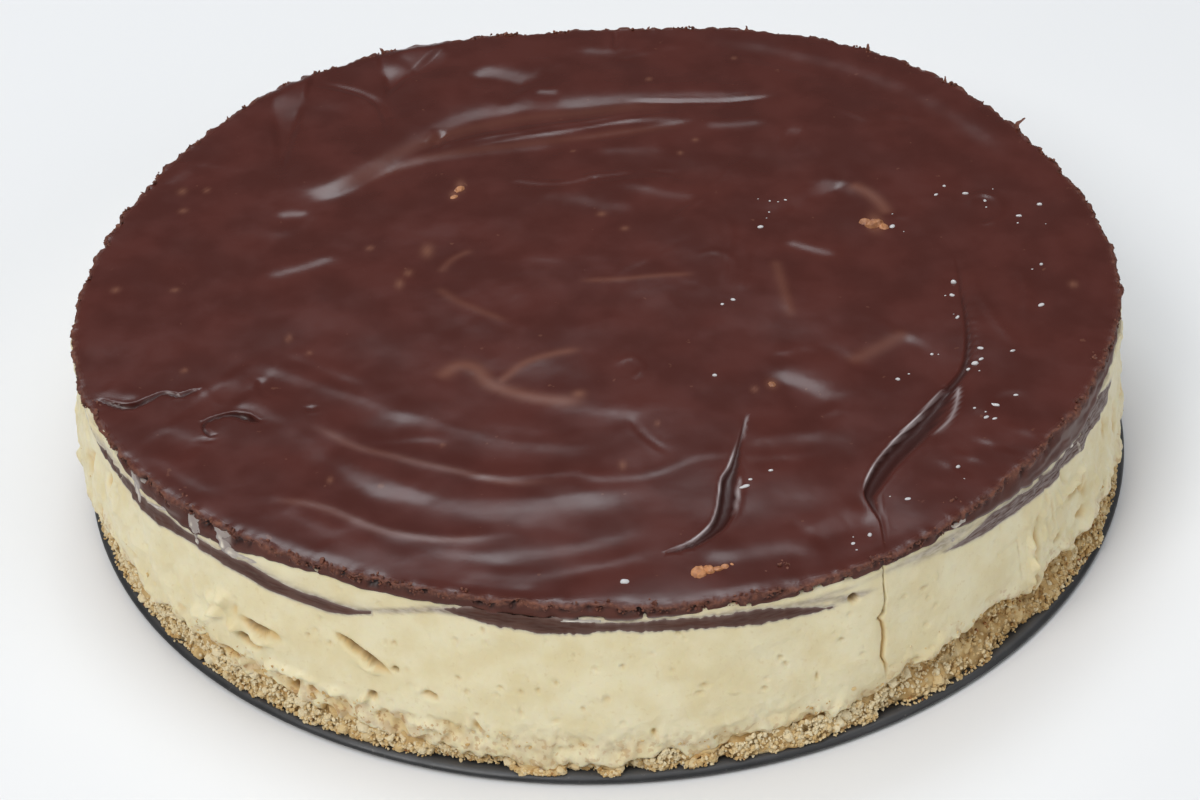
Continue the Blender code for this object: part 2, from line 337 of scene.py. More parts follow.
def object_noise(tree, size, detail=3, stretch=(1, 1, 1), rough=0.5):
    """Noise that changes over `size` millimetres."""
    where = add_node(tree, "TexCoord").outputs["Object"]
    where = add_node(tree, "Mapping", {"Vector": where, "Scale": stretch}).outputs["Vector"]
    wanted = {"Vector": where, "Scale": 1 / (size * MM), "Detail": detail, "Roughness": rough}
    return add_node(tree, "TexNoise", wanted).outputs["Fac"]


def painted(tree, name):
    return add_node(tree, "Attribute", attribute_name=name).outputs["Fac"]


def spread(tree, value, low, high, bottom=0.0, top=1.0):
    """Stretch the part of a value between low and high to bottom and top."""
    wanted = {"Value": value, "From Min": low, "From Max": high, "To Min": bottom, "To Max": top}
    return add_node(tree, "MapRange", wanted, interpolation_type="SMOOTHSTEP").outputs["Result"]


def patches(tree, size, detail, low, high, bottom=0.0, top=1.0, stretch=(1, 1, 1)):
    """Noise, with its part between low and high stretched to bottom and top."""
    return spread(tree, object_noise(tree, size, detail, stretch), low, high, bottom, top)


def times(tree, first, second):
    return add_node(tree, "Math", {0: first, 1: second}, operation="MULTIPLY").outputs[0]


def blend_colours(tree, share, first, second):
    first = first if isinstance(first, bpy.types.NodeSocket) else (*first, 1)
    second = second if isinstance(second, bpy.types.NodeSocket) else (*second, 1)
    return add_node(tree, "Mix", {0: share, 6: first, 7: second}, data_type="RGBA").outputs[2]


def layered(tree, colour, *layers):
    """Lay colours over a colour, each by its share, which may be the name of a painted value."""
    for share, tint in layers:
        colour = blend_colours(tree, painted(tree, share) if isinstance(share, str) else share, colour, tint)
    return colour


def add_relief(tree, shader, height, depth):
    """Fine relief, `depth` millimetres deep, on top of what the shader already has."""
    wanted = {"Height": height, "Distance": depth * MM, "Strength": 1.0}
    bump = add_node(tree, "Bump", wanted)
    normal = shader.inputs["Normal"]
    if normal.links:
        tree.links.new(normal.links[0].from_socket, bump.inputs["Normal"])
    tree.links.new(bump.outputs["Normal"], normal)


# %% [markdown]
# ## The knife's marks
# The chocolate was spread with a palette knife while it set, so its top is a field of soft folds, furrows
# and a few cracks. Each mark is a smooth path with a cross-section of its own. A `slope` tips the surface
# along the path towards its right-hand side, which is what catches the light. A `crease` does the same
# with a sharp start on its left, and a `fold` with a sharp end on its right. A `ridge` stands up, and a
# `furrow` is cut in and throws up a lip on both sides. Sculpting would do this too, but a list of paths
# can be read and corrected, and any of them can be made wider or steeper by itself.

# %% Paths of the knife
RIGHT_RIDGE = ((79, -48), (78.7, -50.9), (77.8, -55.7), (76.4, -59.9), (74.4, -63.4), (71, -67))
# kind, half width, steepness of a slope or height of the others, path in mm from the middle of the cake
KNIFE_MARKS = (
    # beside the wavy crack on the left
    ("ridge", 1.1, 0.12, ((-92.5, -37.6), (-89.8, -38.0), (-87.8, -40.2), (-86.1, -42.8), (-83.8, -45.6))),
    ("slope", 1.3, 0.14, ((-85, -45.6), (-80.5, -45.2), (-78.1, -45.9), (-75.3, -47.6), (-72.2, -50.4),
        (-69.1, -53.6))),
    ("slope", 1.3, 0.14, ((-113, -37.6), (-110, -39.3), (-106, -40.8), (-102.5, -39.6))),
    ("furrow", 0.7, 0.10, ((-88.9, -55.9), (-87, -57.1), (-85.9, -57.1), (-85.3, -56.1))),
    ("furrow", 0.9, 0.25, ((-76.8, -34.4), (-76.2, -37), (-75.5, -40), (-74.4, -43))),
    ("furrow", 0.9, 0.28, ((-65.4, -47.2), (-63.6, -46.6))),
    # folds swept round the front left
    ("crease", 2.3, 0.085, ((-75.2, -48.8), (-68.4, -56.5), (-61.6, -63.2), (-55.1, -69.7), (-48.6, -75),
        (-41.8, -79.9), (-34.3, -83.4))),
    ("crease", 3.2, 0.072, ((-56, -69), (-46, -77.5), (-41.8, -80.4), (-34.3, -83.8), (-25.2, -85),
        (-15.9, -85.2), (-6.7, -84.5), (3.1, -83.5), (12, -81.5))),
    ("crease", 1.9, 0.125, ((-80, -29.5), (-76, -32), (-68.9, -36.3), (-60.2, -41.7), (-52.3, -46.7),
        (-45.7, -51.9), (-39, -55))),
    ("crease", 2.4, 0.085, ((-50, -48.5), (-45.7, -51.9), (-38, -55.5), (-31.7, -59), (-23.3, -63.1),
        (-15.8, -64.7), (-5.2, -66.5), (2, -67))),
    ("slope", 0.9, 0.12, ((-72, -24.5), (-65.5, -30), (-60, -34.5), (-52, -40))),
    ("slope", 1.3, 0.11, ((-70, -47), (-64.7, -52.6), (-59.4, -57.1), (-54.2, -61.6), (-46.6, -65.2),
        (-38.9, -68.8), (-31.5, -71.7), (-25.2, -74.7), (-19, -76.6), (-12.8, -77), (-6.6, -76.6))),
    ("slope", 0.8, 0.10, ((-30, -73.4), (-26.4, -74.1), (-19, -74.9), (-12.8, -74.5), (-6.5, -74.4),
        (-3.6, -75.6), (0.7, -76.9))),
    ("slope", 0.8, 0.075, ((-8, -76.8), (-1, -76.8), (8.4, -76.1), (15.5, -73.4), (19.5, -71.1),
        (24.6, -70.4), (27.2, -69))),
    ("slope", 0.8, 0.10, ((-53, -60), (-46, -60.5), (-38, -60), (-33, -62))),
    ("crease", 1.1, 0.12, ((-76, -78), (-72.6, -78.9), (-65, -80.7), (-59.4, -83.1), (-53.1, -87.4),
        (-45.7, -91.7), (-40.2, -93.5), (-34.1, -94.7), (-28, -95), (-22, -94.2), (-14, -94))),
    ("slope", 1.6, 0.11, ((-71, -81), (-65, -85.5), (-60, -90), (-56, -94))),
    ("slope", 2.4, 0.09, ((-42, -97), (-24, -100.5), (-6, -99), (12, -93))),
    ("slope", 1.5, 0.09, ((-36, -103.5), (-18, -107.5), (0, -104.5), (14, -99))),
    ("slope", 1.8, 0.09, ((-34, -108), (-24, -111), (-13, -110.5))),
    ("slope", 2.4, 0.12, ((-86, -35), (-82, -38), (-78, -40.5))),
    ("slope", 1.8, 0.12, ((-97, -51), (-92, -55), (-86, -59))),
    ("slope", 1.1, 0.12, ((-99, -61), (-91, -70), (-83, -77))),
    ("slope", 1.5, 0.11, ((-62, -62), (-55, -72), (-44, -82))),
    # beside the crack in the middle
    ("crease", 2.2, 0.12, ((29.5, -68.4), (36.4, -66.4), (41, -65.6), (47.4, -65.5), (53.5, -63.5))),
    ("slope", 0.8, 0.12, ((29.6, -72.2), (37.2, -72), (43.6, -71.2), (50, -68.6))),
    ("slope", 0.7, 0.14, ((46, -58.5), (50, -57), (53.5, -55))),
    ("fold", 2.4, 0.125, ((35.5, -40), (42.5, -42.9), (46.9, -46), (50.5, -49.5), (54, -53.5))),
    ("fold", 2.3, 0.12, ((55, -38.5), (60, -35), (66, -30.5), (70.5, -27))),
    ("slope", 0.9, 0.12, ((38, -34), (43, -34), (46, -31))),
    ("slope", 1.6, 0.16, ((41, -98.5), (48, -95), (56, -91))),
    ("slope", 1.0, 0.20, ((74, -78.5), (76, -75.8), (78.5, -73.5))),
    ("slope", 1.4, 0.16, ((84, -72), (87, -68), (91, -64.5))),
    ("slope", 1.0, 0.22, ((85, -61), (85.6, -55.5), (88, -53), (93, -50.5))),
    ("ridge", 1.2, 0.32, RIGHT_RIDGE),
    ("slope", 2.0, 0.12, ((18, -105), (30, -103), (44, -101))),
    # the middle
    ("ridge", 1.6, 0.06, ((-36, -36), (-32, -33.5), (-27, -36.5), (-22.6, -38.4), (-14, -32.5),
        (-3, -28.5))),
    ("slope", 1.5, 0.06, ((-28, -38), (-20, -44.5), (-12.5, -47.3), (-3, -48))),
    ("ridge", 1.2, 0.06, ((-37, 3), (-34, 9), (-29, 13), (-26, 20))),
    ("ridge", 1.0, 0.04, ((-5, -2), (6, -2.2), (14, -1.6), (24, -1))),
    ("ridge", 1.3, 0.08, ((-38, -2), (-33, -8), (-28, -12), (-20, -18), (-12, -23))),
    ("slope", 2.6, 0.12, ((-15, 37), (-6, 33), (4, 29.5), (12, 27))),
    ("slope", 2.0, 0.13, ((4, 39), (13, 36), (20, 32.5), (28, 30.5))),
    ("ridge", 0.9, 0.22, ((19, 20), (22, 26), (26, 30), (29, 33))),
    ("ridge", 0.7, 0.16, ((29, 35), (34, 44), (40, 53))),
    ("slope", 0.6, 0.24, ((-20, 42.6), (-18.6, 41.9), (-12.9, 40.1), (-6.8, 39.7), (-0.6, 41.9),
        (1, 42.6))),
    ("slope", 0.6, 0.24, ((-1, 42.5), (0.4, 42.7), (5.5, 43.2), (12, 44.6))),
    ("slope", 0.6, 0.12, ((13, 45), (21, 43.6))),
    ("fold", 1.9, 0.23, ((43.3, 21.7), (47.5, 27.5), (51.8, 31.6), (57.3, 34.7), (62, 36.8))),
    ("slope", 1.4, 0.19, ((44, 11.5), (50, 8), (58, 3.5))),
    ("ridge", 1.0, 0.20, ((31, 26), (32.5, 15), (30.5, 4), (29, -8))),
    ("ridge", 1.0, 0.16, ((36, 12), (35, 0), (33, -10))),
    ("ridge", 0.9, 0.18, ((41, 4), (42.5, -8), (44, -21))),
    ("ridge", 1.0, 0.14, ((24, 5), (28, 8), (33, 2), (31, -10))),
    ("slope", 1.2, 0.05, ((64, 34), (68, 29), (70.5, 21))),
    ("slope", 0.8, 0.16, ((69, 15), (72, 18.5), (75, 20))),
    ("furrow", 0.7, 0.15, ((6, -55), (9, -62), (14.5, -69))),
    ("ridge", 0.8, 0.2, ((3, -36), (7, -33), (9.5, -37), (7, -42))),
    ("ridge", 1.0, 0.28, ((90.4, 20.5), (91, 26), (94, 28.3), (97.2, 25.5), (97.2, 19.5), (94, 15.5),
        (91.2, 17))),
    ("ridge", 1.0, 0.2, ((86.5, 0), (87.5, -12), (90, -24), (94, -36))),
    ("ridge", 0.9, 0.16, ((98, -2), (99, -14), (97, -26))),
    # two bands swept along the back
    ("fold", 3.2, 0.15, ((-84, 28), (-74, 36), (-62, 43.5), (-54, 52), (-46, 62), (-38, 69.5), (-28, 75),
        (-14, 78), (4, 78.5))),
    ("fold", 2.9, 0.15, ((-16, 77.5), (2, 78.5), (22, 78.5), (40, 78), (54, 80))),
    ("furrow", 0.7, 0.22, ((8, 76.5), (24, 75.6), (38, 75.4), (48, 76.5))),
    ("slope", 3.4, 0.06, ((-74, 34), (-66, 40), (-58, 46), (-50, 55), (-42, 62), (-32, 67), (-18, 69.5),
        (0, 70.5))),
    ("furrow", 0.6, 0.16, ((-46, 56), (-40, 60), (-32, 64), (-20, 67.5), (-4, 70), (14, 72))),
    ("furrow", 0.6, 0.16, ((-34, 60), (-22, 63), (-8, 66), (8, 69.5), (24, 72))),
    ("fold", 2.1, 0.155, ((-70, 33), (-62, 40), (-54, 48.5), (-44, 53.5), (-30, 56.5), (-12, 58.5),
        (2, 60.5))),
    ("slope", 1.3, 0.21, ((-38, 59), (-22, 62), (-8, 64), (4, 67.3), (18, 67.6), (32, 69))),
    ("slope", 0.8, 0.18, ((-8, 60.5), (6, 62.4), (18, 65.2), (28, 67.4))),
    ("furrow", 1.3, 0.6, ((-39.5, 60.5), (-38, 63.5), (-37, 66.5))),
    ("slope", 1.6, 0.15, ((27, 64.8), (36, 64), (46, 65))),
    ("slope", 1.6, 0.16, ((48.5, 60.3), (53, 58.2))),
    ("slope", 1.8, 0.12, ((0, 54.5), (10, 54.6), (21, 53.5))),
    # the lobe that was folded over at the back left
    ("furrow", 0.9, 0.42, ((-73, 93), (-64.6, 89.5), (-59, 86.5), (-54.5, 82), (-52.4, 76), (-51.4, 70),
        (-51, 64))),
    ("ridge", 5.0, 0.2, ((-90, 66), (-78, 78), (-68, 84), (-60, 80), (-57, 70))),
    ("slope", 8.5, 0.15, ((-82.5, 82), (-77.5, 82.5), (-72, 82))),
    ("slope", 4.6, 0.20, ((-54.5, 96), (-50, 96.5), (-45.5, 94))),
    ("slope", 3.6, 0.14, ((-50, 101), (-43, 103.5), (-35, 104))),
    ("fold", 3.4, 0.22, ((-32, 96.5), (-24, 94), (-18, 91.5), (-12.5, 88))),
    ("slope", 1.1, 0.17, ((-14.5, 83.4), (-10.6, 83), (-7, 82.8))),
    ("slope", 1.4, 0.18, ((-77.5, 30), (-73, 31.6), (-69, 31))),
    ("slope", 1.8, 0.18, ((-79, 4.5), (-70, 8), (-60, 13))),
    ("slope", 2.2, 0.12, ((-78, 19), (-73, 25), (-68, 31), (-64, 37))),
    ("slope", 1.8, 0.13, ((-107, 46), (-101, 52), (-98, 58))),
    ("slope", 1.8, 0.14, ((-4, 104), (6, 102.5), (16, 104))),
    ("slope", 1.2, 0.12, ((6, 98), (16, 101), (26, 104.5))),
    ("furrow", 0.8, 0.5, ((6.6, 118), (7.6, 111), (7.4, 103))),
    ("slope", 2.2, 0.13, ((68, 60), (74, 64), (84, 62))),
    ("slope", 3.0, 0.13, ((20, 109.5), (47, 100.6), (68.3, 87.5), (85, 71.3), (98, 52.1), (105, 36))),
)
print(len(KNIFE_MARKS), "marks of the knife")

# %% [markdown]
# Where the chocolate had nearly set, it split. These grooves aren't symmetric: one lip is sharp and
# stands up a little, the wall under it is steep, and the bottom rises slowly to the other side. Each path
# follows the sharp lip, with the groove on its right-hand side, and its third number is the width there.

# %% Split grooves
# depth for each mm of width, where across the width the far side starts to rise, width from which the lip
# gets a painted highlight, path
GROOVES = (
    # the long one on the right, from the rim to its narrow end at the back
    (0.27, 0.34, 3.3, ((57.4, -107, 0.7), (57.2, -100.7, 0.9), (57.0, -94.2, 1.2), (55.6, -89.5, 1.9),
        (54.7, -85.8, 2.9), (55.0, -82.8, 3.9), (56.3, -79, 4.7), (58.7, -74, 5.3), (62.6, -68, 5.8),
        (66.2, -63, 5.9), (69.5, -58.6, 5.4), (73.2, -53, 4.4), (76.9, -47.5, 3.2), (80.4, -41.5, 2.4),
        (82.4, -33, 1.8), (83.2, -23.2, 1.5), (83.5, -12, 1.2), (84, -3, 1.0), (84.2, 6, 0.7))),
    # the one in the middle of the front
    (0.36, 0.66, 0.8, ((11, -101.6, 0.4), (13.7, -100.4, 1.1), (17.5, -98.3, 1.9), (21.4, -93.7, 3.0),
        (23.2, -88.9, 3.8), (24.2, -83, 4.0), (24.9, -78.2, 3.6), (26.7, -74.2, 2.4), (28.7, -67.1, 1.2),
        (30.2, -60.9, 0.9), (31.6, -55.1, 0.4))),
    # the wavy ones on the left
    (0.70, 0.55, 9, ((-111.8, -39.6, 0.7), (-109.8, -41.1, 1.3), (-106.1, -42.3, 2.0), (-104, -42.1, 1.9),
        (-102.3, -41.2, 1.5), (-100.4, -39.9, 1.2), (-97.8, -38.5, 0.9), (-95.4, -39.2, 1.2),
        (-94.3, -39.8, 1.2), (-93.2, -39.1, 1.0), (-91.3, -38.2, 1.0), (-89.7, -38.6, 0.7))),
    (0.70, 0.55, 9, ((-88.4, -50.7, 0.6), (-87.6, -49.8, 0.9), (-86.2, -48.6, 1.1), (-84.5, -47.8, 1.1),
        (-82.8, -47.2, 1.2), (-81, -47, 1.6), (-79.5, -47.3, 2.1), (-78, -48, 2.2), (-76.8, -49.1, 1.7),
        (-75.3, -50.6, 0.6))),
    (0.70, 0.50, 9, ((-86.3, -56.3, 0.6), (-87.7, -54.3, 0.8), (-88.3, -52.4, 0.9), (-88.4, -50.9, 0.8))),
)
print(len(GROOVES), "grooves")

# %% [markdown]
# Between the marks that stand out lie many faint ones, where the knife swept round in arcs. They are
# drawn at random from a fixed seed, so the cake comes out the same every time.

# %% Faint sweeps and the relief they all add up to
chance = np.random.default_rng(5)
faint_sweeps = []
for _ in range(90):
    reach, start, sweep = chance.uniform(15, 108), chance.uniform(0, 2 * math.pi), chance.uniform(0.25, 0.9)
    turns = start + np.linspace(0, sweep, 5)
    drift = reach + np.linspace(0, chance.uniform(-9, 9), 5)
    sweep_path = tuple(zip(np.cos(turns) * drift, np.sin(turns) * drift))
    faint_sweeps.append(("slope", chance.uniform(1.2, 3.2), chance.uniform(0.015, 0.045), sweep_path))


def smooth_path(corners, samples=6):
    """Points along a Catmull-Rom curve through the corners."""
    corners = np.array(corners, float)
    corners = np.vstack((2 * corners[0] - corners[1], corners, 2 * corners[-1] - corners[-2]))
    share = np.linspace(0, 1, samples, endpoint=False)[:, None]
    pieces = []
    for before, start, end, after in zip(corners, corners[1:], corners[2:], corners[3:]):
        bend = (2 * before - 5 * start + 4 * end - after) * share**2
        twist = (3 * start - before - 3 * end + after) * share**3
        pieces.append((2 * start + (end - before) * share + bend + twist) / 2)
    return np.vstack((*pieces, corners[-2]))


def across_path(spots, path):
    """How far each spot lies to the right of a path, and which share of the path it is beside."""
    path = path[:, :2]
    nearest, side, share = np.full(len(spots), 1e9), np.zeros(len(spots)), np.zeros(len(spots))
    for index, (start, end) in enumerate(zip(path, path[1:])):
        along = end - start
        offset = spots - start
        done = np.clip(offset @ along / (along @ along), 0, 1)
        miss = offset - done[:, None] * along
        far = np.hypot(miss[:, 0], miss[:, 1])
        closer = far < nearest
        right = np.sign(along[1] * miss[:, 0] - along[0] * miss[:, 1])
        nearest, side = np.where(closer, far, nearest), np.where(closer, right, side)
        share = np.where(closer, (index + done) / (len(path) - 1), share)
    return nearest * np.where(side == 0, 1, side), share


def beside(spots, path, reach):
    """Which spots lie within reach of a path, with how far to its right, and the share of its length."""
    near = np.all((spots > path[:, :2].min(0) - reach) & (spots < path[:, :2].max(0) + reach), axis=1)
    return near, *across_path(spots[near], path)


def fades(share, length=0.22):
    return smooth_step(0, length, share) * smooth_step(0, length, 1 - share)


def rounded_off(value, sharpness):
    """A straight rise that levels out at 1, abruptly when the sharpness is high."""
    return value / (1 + np.abs(value) ** sharpness) ** (1 / sharpness)


def tipped(shape, left, right):
    """Cross-section of a slope, in half widths: down from left to right, and slowly back up outside."""
    across = np.where(shape < 0, rounded_off(shape, left), rounded_off(shape, right))
    return -across * bell(np.maximum(np.abs(shape) - 1.2, 0) / 2.6)


SLOPES = {"slope": (2.6, 2.6), "crease": (9, 1.8), "fold": (1.8, 9)}


def groove_shape(spots):
    """Depth of the grooves and height of their lips, in mm, and the share of painted highlight on a sharp
    lip.
    """
    depth, lips, edge = np.zeros(len(spots)), np.zeros(len(spots)), np.zeros(len(spots))
    for deep, rise, highlight_from, corners in GROOVES:
        path = smooth_path(corners)
        near, across, share = beside(spots, path, 9)
        wide = np.interp(share, np.linspace(0, 1, len(path)), path[:, 2]) * fades(share, 0.06)
        safe = np.maximum(wide, 0.05)
        wall = smooth_step(-0.05, 0.25 + 0.09 * safe, across)
        far_side = smooth_step(rise, 1.0, across / safe)
        depth[near] = np.maximum(depth[near], deep * wide * wall * (1 - far_side))
        sharp = 0.035 * wide * bell((across + 0.22) / 0.34)
        soft = 0.045 * wide * bell((across / safe - 1.10) / 0.20)
        lips[near] = np.maximum(lips[near], sharp + soft)
        # painted highlight: a thin pale line on the sharp lip, once the groove is wide enough
        painted_highlight = bell((across + 0.08) / 0.20) * smooth_step(highlight_from, highlight_from + 1.2, wide)
        edge[near] = np.maximum(edge[near], painted_highlight)
    return depth, lips, edge


def knife_relief(spots):
    """Height of the chocolate's top above its mean level, in mm."""
    flat = np.column_stack((spots, np.zeros(len(spots))))
    waves = ((0.30, 26, 21), (0.07, 11, 22), (0.012, 3.5, 23))
    relief = sum(tall * unevenness(flat, size, seed) for tall, size, seed in waves)
    for kind, half_width, size, corners in (*KNIFE_MARKS, *faint_sweeps):
        near, across, share = beside(spots, smooth_path(corners), 6 * half_width)
        shape = across / half_width
        if kind in SLOPES:
            mark = size * half_width * tipped(shape, *SLOPES[kind])
        elif kind == "ridge":
            mark = size * bell(shape)
        else:
            mark = size * (0.28 * bell((np.abs(shape) - 1.9) / 0.8) - bell(shape))
        relief[near] += mark * fades(share)
    depth, lips, _ = groove_shape(spots)
    return relief + lips - depth


def drawn_to_grooves(spots, most, reach=3.6):
    """Move spots closer to the sharp lips, so that the mesh is finest there."""
    for corners in (*(groove[-1] for groove in GROOVES), RIGHT_RIDGE):
        path = smooth_path(corners)
        near, across, share = beside(spots, path, reach)
        where = share * (len(path) - 1)
        on_path = np.column_stack([np.interp(where, np.arange(len(path)), path[:, axis]) for axis in (0, 1)])
        far = np.maximum(np.abs(across), 1e-6)
        closer = np.where(far < reach, (far / reach) ** 0.8, 1)
        pull = most[near] * fades(share, 0.03) * (1 - closer)
        spots = spots.copy()
        spots[near] += (on_path - spots[near]) * pull[:, None]
    return spots


test_spots = chance.uniform(-80, 80, (2000, 2))
print("relief from %.2f to %.2f mm" % (knife_relief(test_spots).min(), knife_relief(test_spots).max()))

# %% [markdown]
# ## The chocolate layer
# The layer is one closed piece. A square grid is pressed round for the top, which keeps its cells alike
# all over and leaves no crowded pole in the middle, and the grid's border is extruded down for the side.
# The grid's cells have to be under a millimetre for the folds to show as real shape. At the rim the tin's
# ring tore the chocolate, so the edge is ragged, crumbly and pitted just below the top.

# %% Shape the chocolate
TOP_CELLS = 290
SIDE_ROWS = 9


def pressed_round(across, along):
    """Turn places on a square grid into an angle and a share of the radius."""
    share = np.maximum(np.abs(across), np.abs(along))
    safe = np.where(share == 0, 1, share)
    sideways = np.abs(across) >= np.abs(along)
    eighth = math.pi / 4
    to_side = along / np.where(sideways, np.where(across == 0, 1, across), 1)
    to_side = eighth * to_side + math.pi * (across < 0)
    to_back = across / np.where(sideways, 1, np.where(along == 0, safe, along))
    to_back = math.pi / 2 - eighth * to_back + math.pi * (along < 0)
    return np.where(sideways, to_side, to_back), share


def rim_tear(angle):
    """How far the torn rim stands out or in, in mm."""
    level = on_the_side(angle, 0)
    torn = 0.45 * unevenness(level, 4.5, 31) + 0.35 * unevenness(level, 2.0, 32)
    return torn + 0.2 * np.abs(unevenness(level, 1.0, 33))


def chocolate_cover():
    shape = bmesh.new()
    bmesh.ops.create_grid(shape, x_segments=TOP_CELLS, y_segments=TOP_CELLS, size=1)
    edges = [edge for edge in shape.edges if edge.is_boundary]
    for _ in range(SIDE_ROWS + 1):
        edges = pushed_on(shape, edges, -1)
    bmesh.ops.contextual_create(shape, geom=edges)
    bmesh.ops.recalc_face_normals(shape, faces=shape.faces[:])
    return as_mesh("chocolate_cover", shape)


cover_mesh = chocolate_cover()
grid_place = points_of(cover_mesh)
angle, share = pressed_round(grid_place[:, 0], grid_place[:, 1])
row = np.rint(-grid_place[:, 2])
radius = rim_radius(angle) * share
inward = rim_radius(angle) * (1 - share)
spots = np.column_stack((np.cos(angle) * radius, np.sin(angle) * radius))
spots = drawn_to_grooves(spots, smooth_step(0.5, 4, inward) * (row == 0))
radius = np.where(row == 0, np.hypot(spots[:, 0], spots[:, 1]), radius)
angle = np.where(row == 0, np.arctan2(spots[:, 1], spots[:, 0]), angle)
inward = rim_radius(angle) - np.minimum(radius, rim_radius(angle))
level = on_the_side(angle, 0)
drop = 0.30 * np.exp(-inward / 0.7)
crumble = np.exp(-inward / 0.7) * (0.30 * unevenness(level, 2.2, 34) + 0.22 * unevenness(level, 1.0, 35))
height = CAKE_TOP + knife_relief(spots) * smooth_step(-1, 4, inward) - drop + crumble
radius = radius + rim_tear(angle) * np.exp(-inward / 1.2)
print("top relief", (height[row == 0].min()).round(2), "to", (height[row == 0].max()).round(2))

# %% [markdown]
# The side runs from the torn rim down to the ice cream. Most of it was smoothed by the tin, and its
# uppermost millimetre broke away in crumbs and left small holes. The points' depth in those holes is
# painted on them too, as a painted shade that darkens the holes, and the grooves on top get the same.

# %% Shape the chocolate's side
PIT_ZONES = ((200, 250, 1.0), (256, 300, 0.7), (300, 350, 0.5), (0, 200, 0.6))
# degrees, height, half width, half height, depth, and how far it leans to the right for each mm up
SLITS = (
    (268, 40.0, 2.6, 0.42, 1.6, 0), (273, 42.0, 0.42, 1.8, 2.0, -0.55), (221.2, 37.1, 2.0, 0.28, 1.2, 0),
    (224.6, 37.7, 1.4, 0.35, 1.2, 6), (224.4, 41.2, 0.45, 0.8, 1.4, 0), (228.8, 41.2, 0.5, 0.8, 1.5, 0),
    (238.4, 42.0, 0.8, 0.3, 1.2, -1.5), (242.3, 42.6, 0.9, 0.6, 1.5, -0.5), (245, 41.0, 0.3, 0.3, 0.9, 0),
    (247.1, 42.6, 0.5, 0.5, 1.2, 0), (250.9, 42.6, 0.7, 0.6, 1.4, 0), (256.8, 41.9, 1.0, 0.5, 1.1, 0),
    (265.3, 41.9, 0.6, 0.4, 1.1, 0), (275.1, 39.3, 0.4, 0.4, 1.0, 0), (283.7, 41.1, 0.5, 0.35, 1.2, 0),
    (290.8, 41.6, 1.0, 0.5, 1.3, 0), (298.1, 42, 0.3, 3, 1.6, 0), (303, 42.6, 0.7, 0.5, 1.2, 0),
    (311, 42.5, 0.9, 0.5, 1.2, 0), (318.9, 41.7, 1.0, 0.5, 1.2, 0), (329, 35.0, 3.6, 0.35, 1.2, -6),
    (215.6, 42.2, 0.6, 0.5, 1.2, 0), (211, 42.4, 0.7, 0.5, 1.2, 0), (233.5, 42.7, 0.5, 0.4, 1.2, 0),
    (260.5, 42.6, 0.5, 0.4, 1.1, 0), (279.6, 42.9, 0.5, 0.4, 1.0, 0), (287, 42.7, 0.5, 0.4, 1.1, 0),
    (335, 42, 0.8, 0.7, 1.2, 0),
)


def side_marks(angle, height, marks):
    """Depth of elliptical holes, or of lumps where negative, that the tables place on the wall."""
    depth = np.zeros(len(angle))
    for degrees, middle, half_width, half_height, deepest, *lean in marks:
        up = height - middle
        across = np.radians((np.degrees(angle) - degrees + 180) % 360 - 180) * WALL_RADIUS
        across = across - (lean[0] if lean else 0) * up
        depth += deepest * np.exp(-(((across / half_width) ** 2 + (up / half_height) ** 2) ** 1.5))
    return depth


last = SIDE_ROWS + 1
low = chocolate_edge(angle)
down = np.clip(row / SIDE_ROWS, 0, 1)
rim_height = height.copy()
side_height = rim_height + (low - rim_height) * down
skin = on_the_side(angle, side_height)
turned = degrees_of(angle)
pitted = sum(strength * between(turned, first - 2, first + 2, end - 2, end + 2)
             for first, end, strength in PIT_ZONES)
holes = smooth_step(0.28, 0.8, unevenness(skin * (1, 1, 0.7), 1.5, 36)) * pitted
below = rim_height - side_height
holes *= smooth_step(0.3, 0.8, below) * smooth_step(2.6, 1.4, below)
slits = side_marks(angle, side_height, SLITS)
grain = 0.22 * unevenness(skin, 2.4, 37) + 0.16 * unevenness(skin, 1.1, 38) * smooth_step(1.0, 0.3, down)
side_place = side_radius(angle, side_height) + rim_tear(angle) * smooth_step(0.6, 0, down)
side_place = side_place + grain - holes - slits
radius = np.where(row > 0, side_place, radius - 0.3 * slits)
height = np.where(row > 0, side_height, height)
radius = np.where(row == last, rim_radius(angle) - CORE_DEPTH, radius)
height = np.where(row == last, CAKE_TOP - 3, height)
place_points(cover_mesh, at(angle, radius, height))
band = 0.95 + 0.6 * unevenness(level, 3, 43)
cut = np.where(row > 0, smooth_step(band + 0.5, band - 0.4, below), np.exp(-inward / 0.45))
deep_groove, _, lip_highlight = groove_shape(spots)
paint(cover_mesh, "cut", cut)
paint(cover_mesh, "side", np.where(row > 0, 1.0, 0.0))
# painted shade: near black in the pits and slits of the side and in the bottoms of the grooves on top
paint(cover_mesh, "hole_shade", np.where(row > 0, holes + slits, 0.68 * smooth_step(0.08, 0.6, deep_groove)))
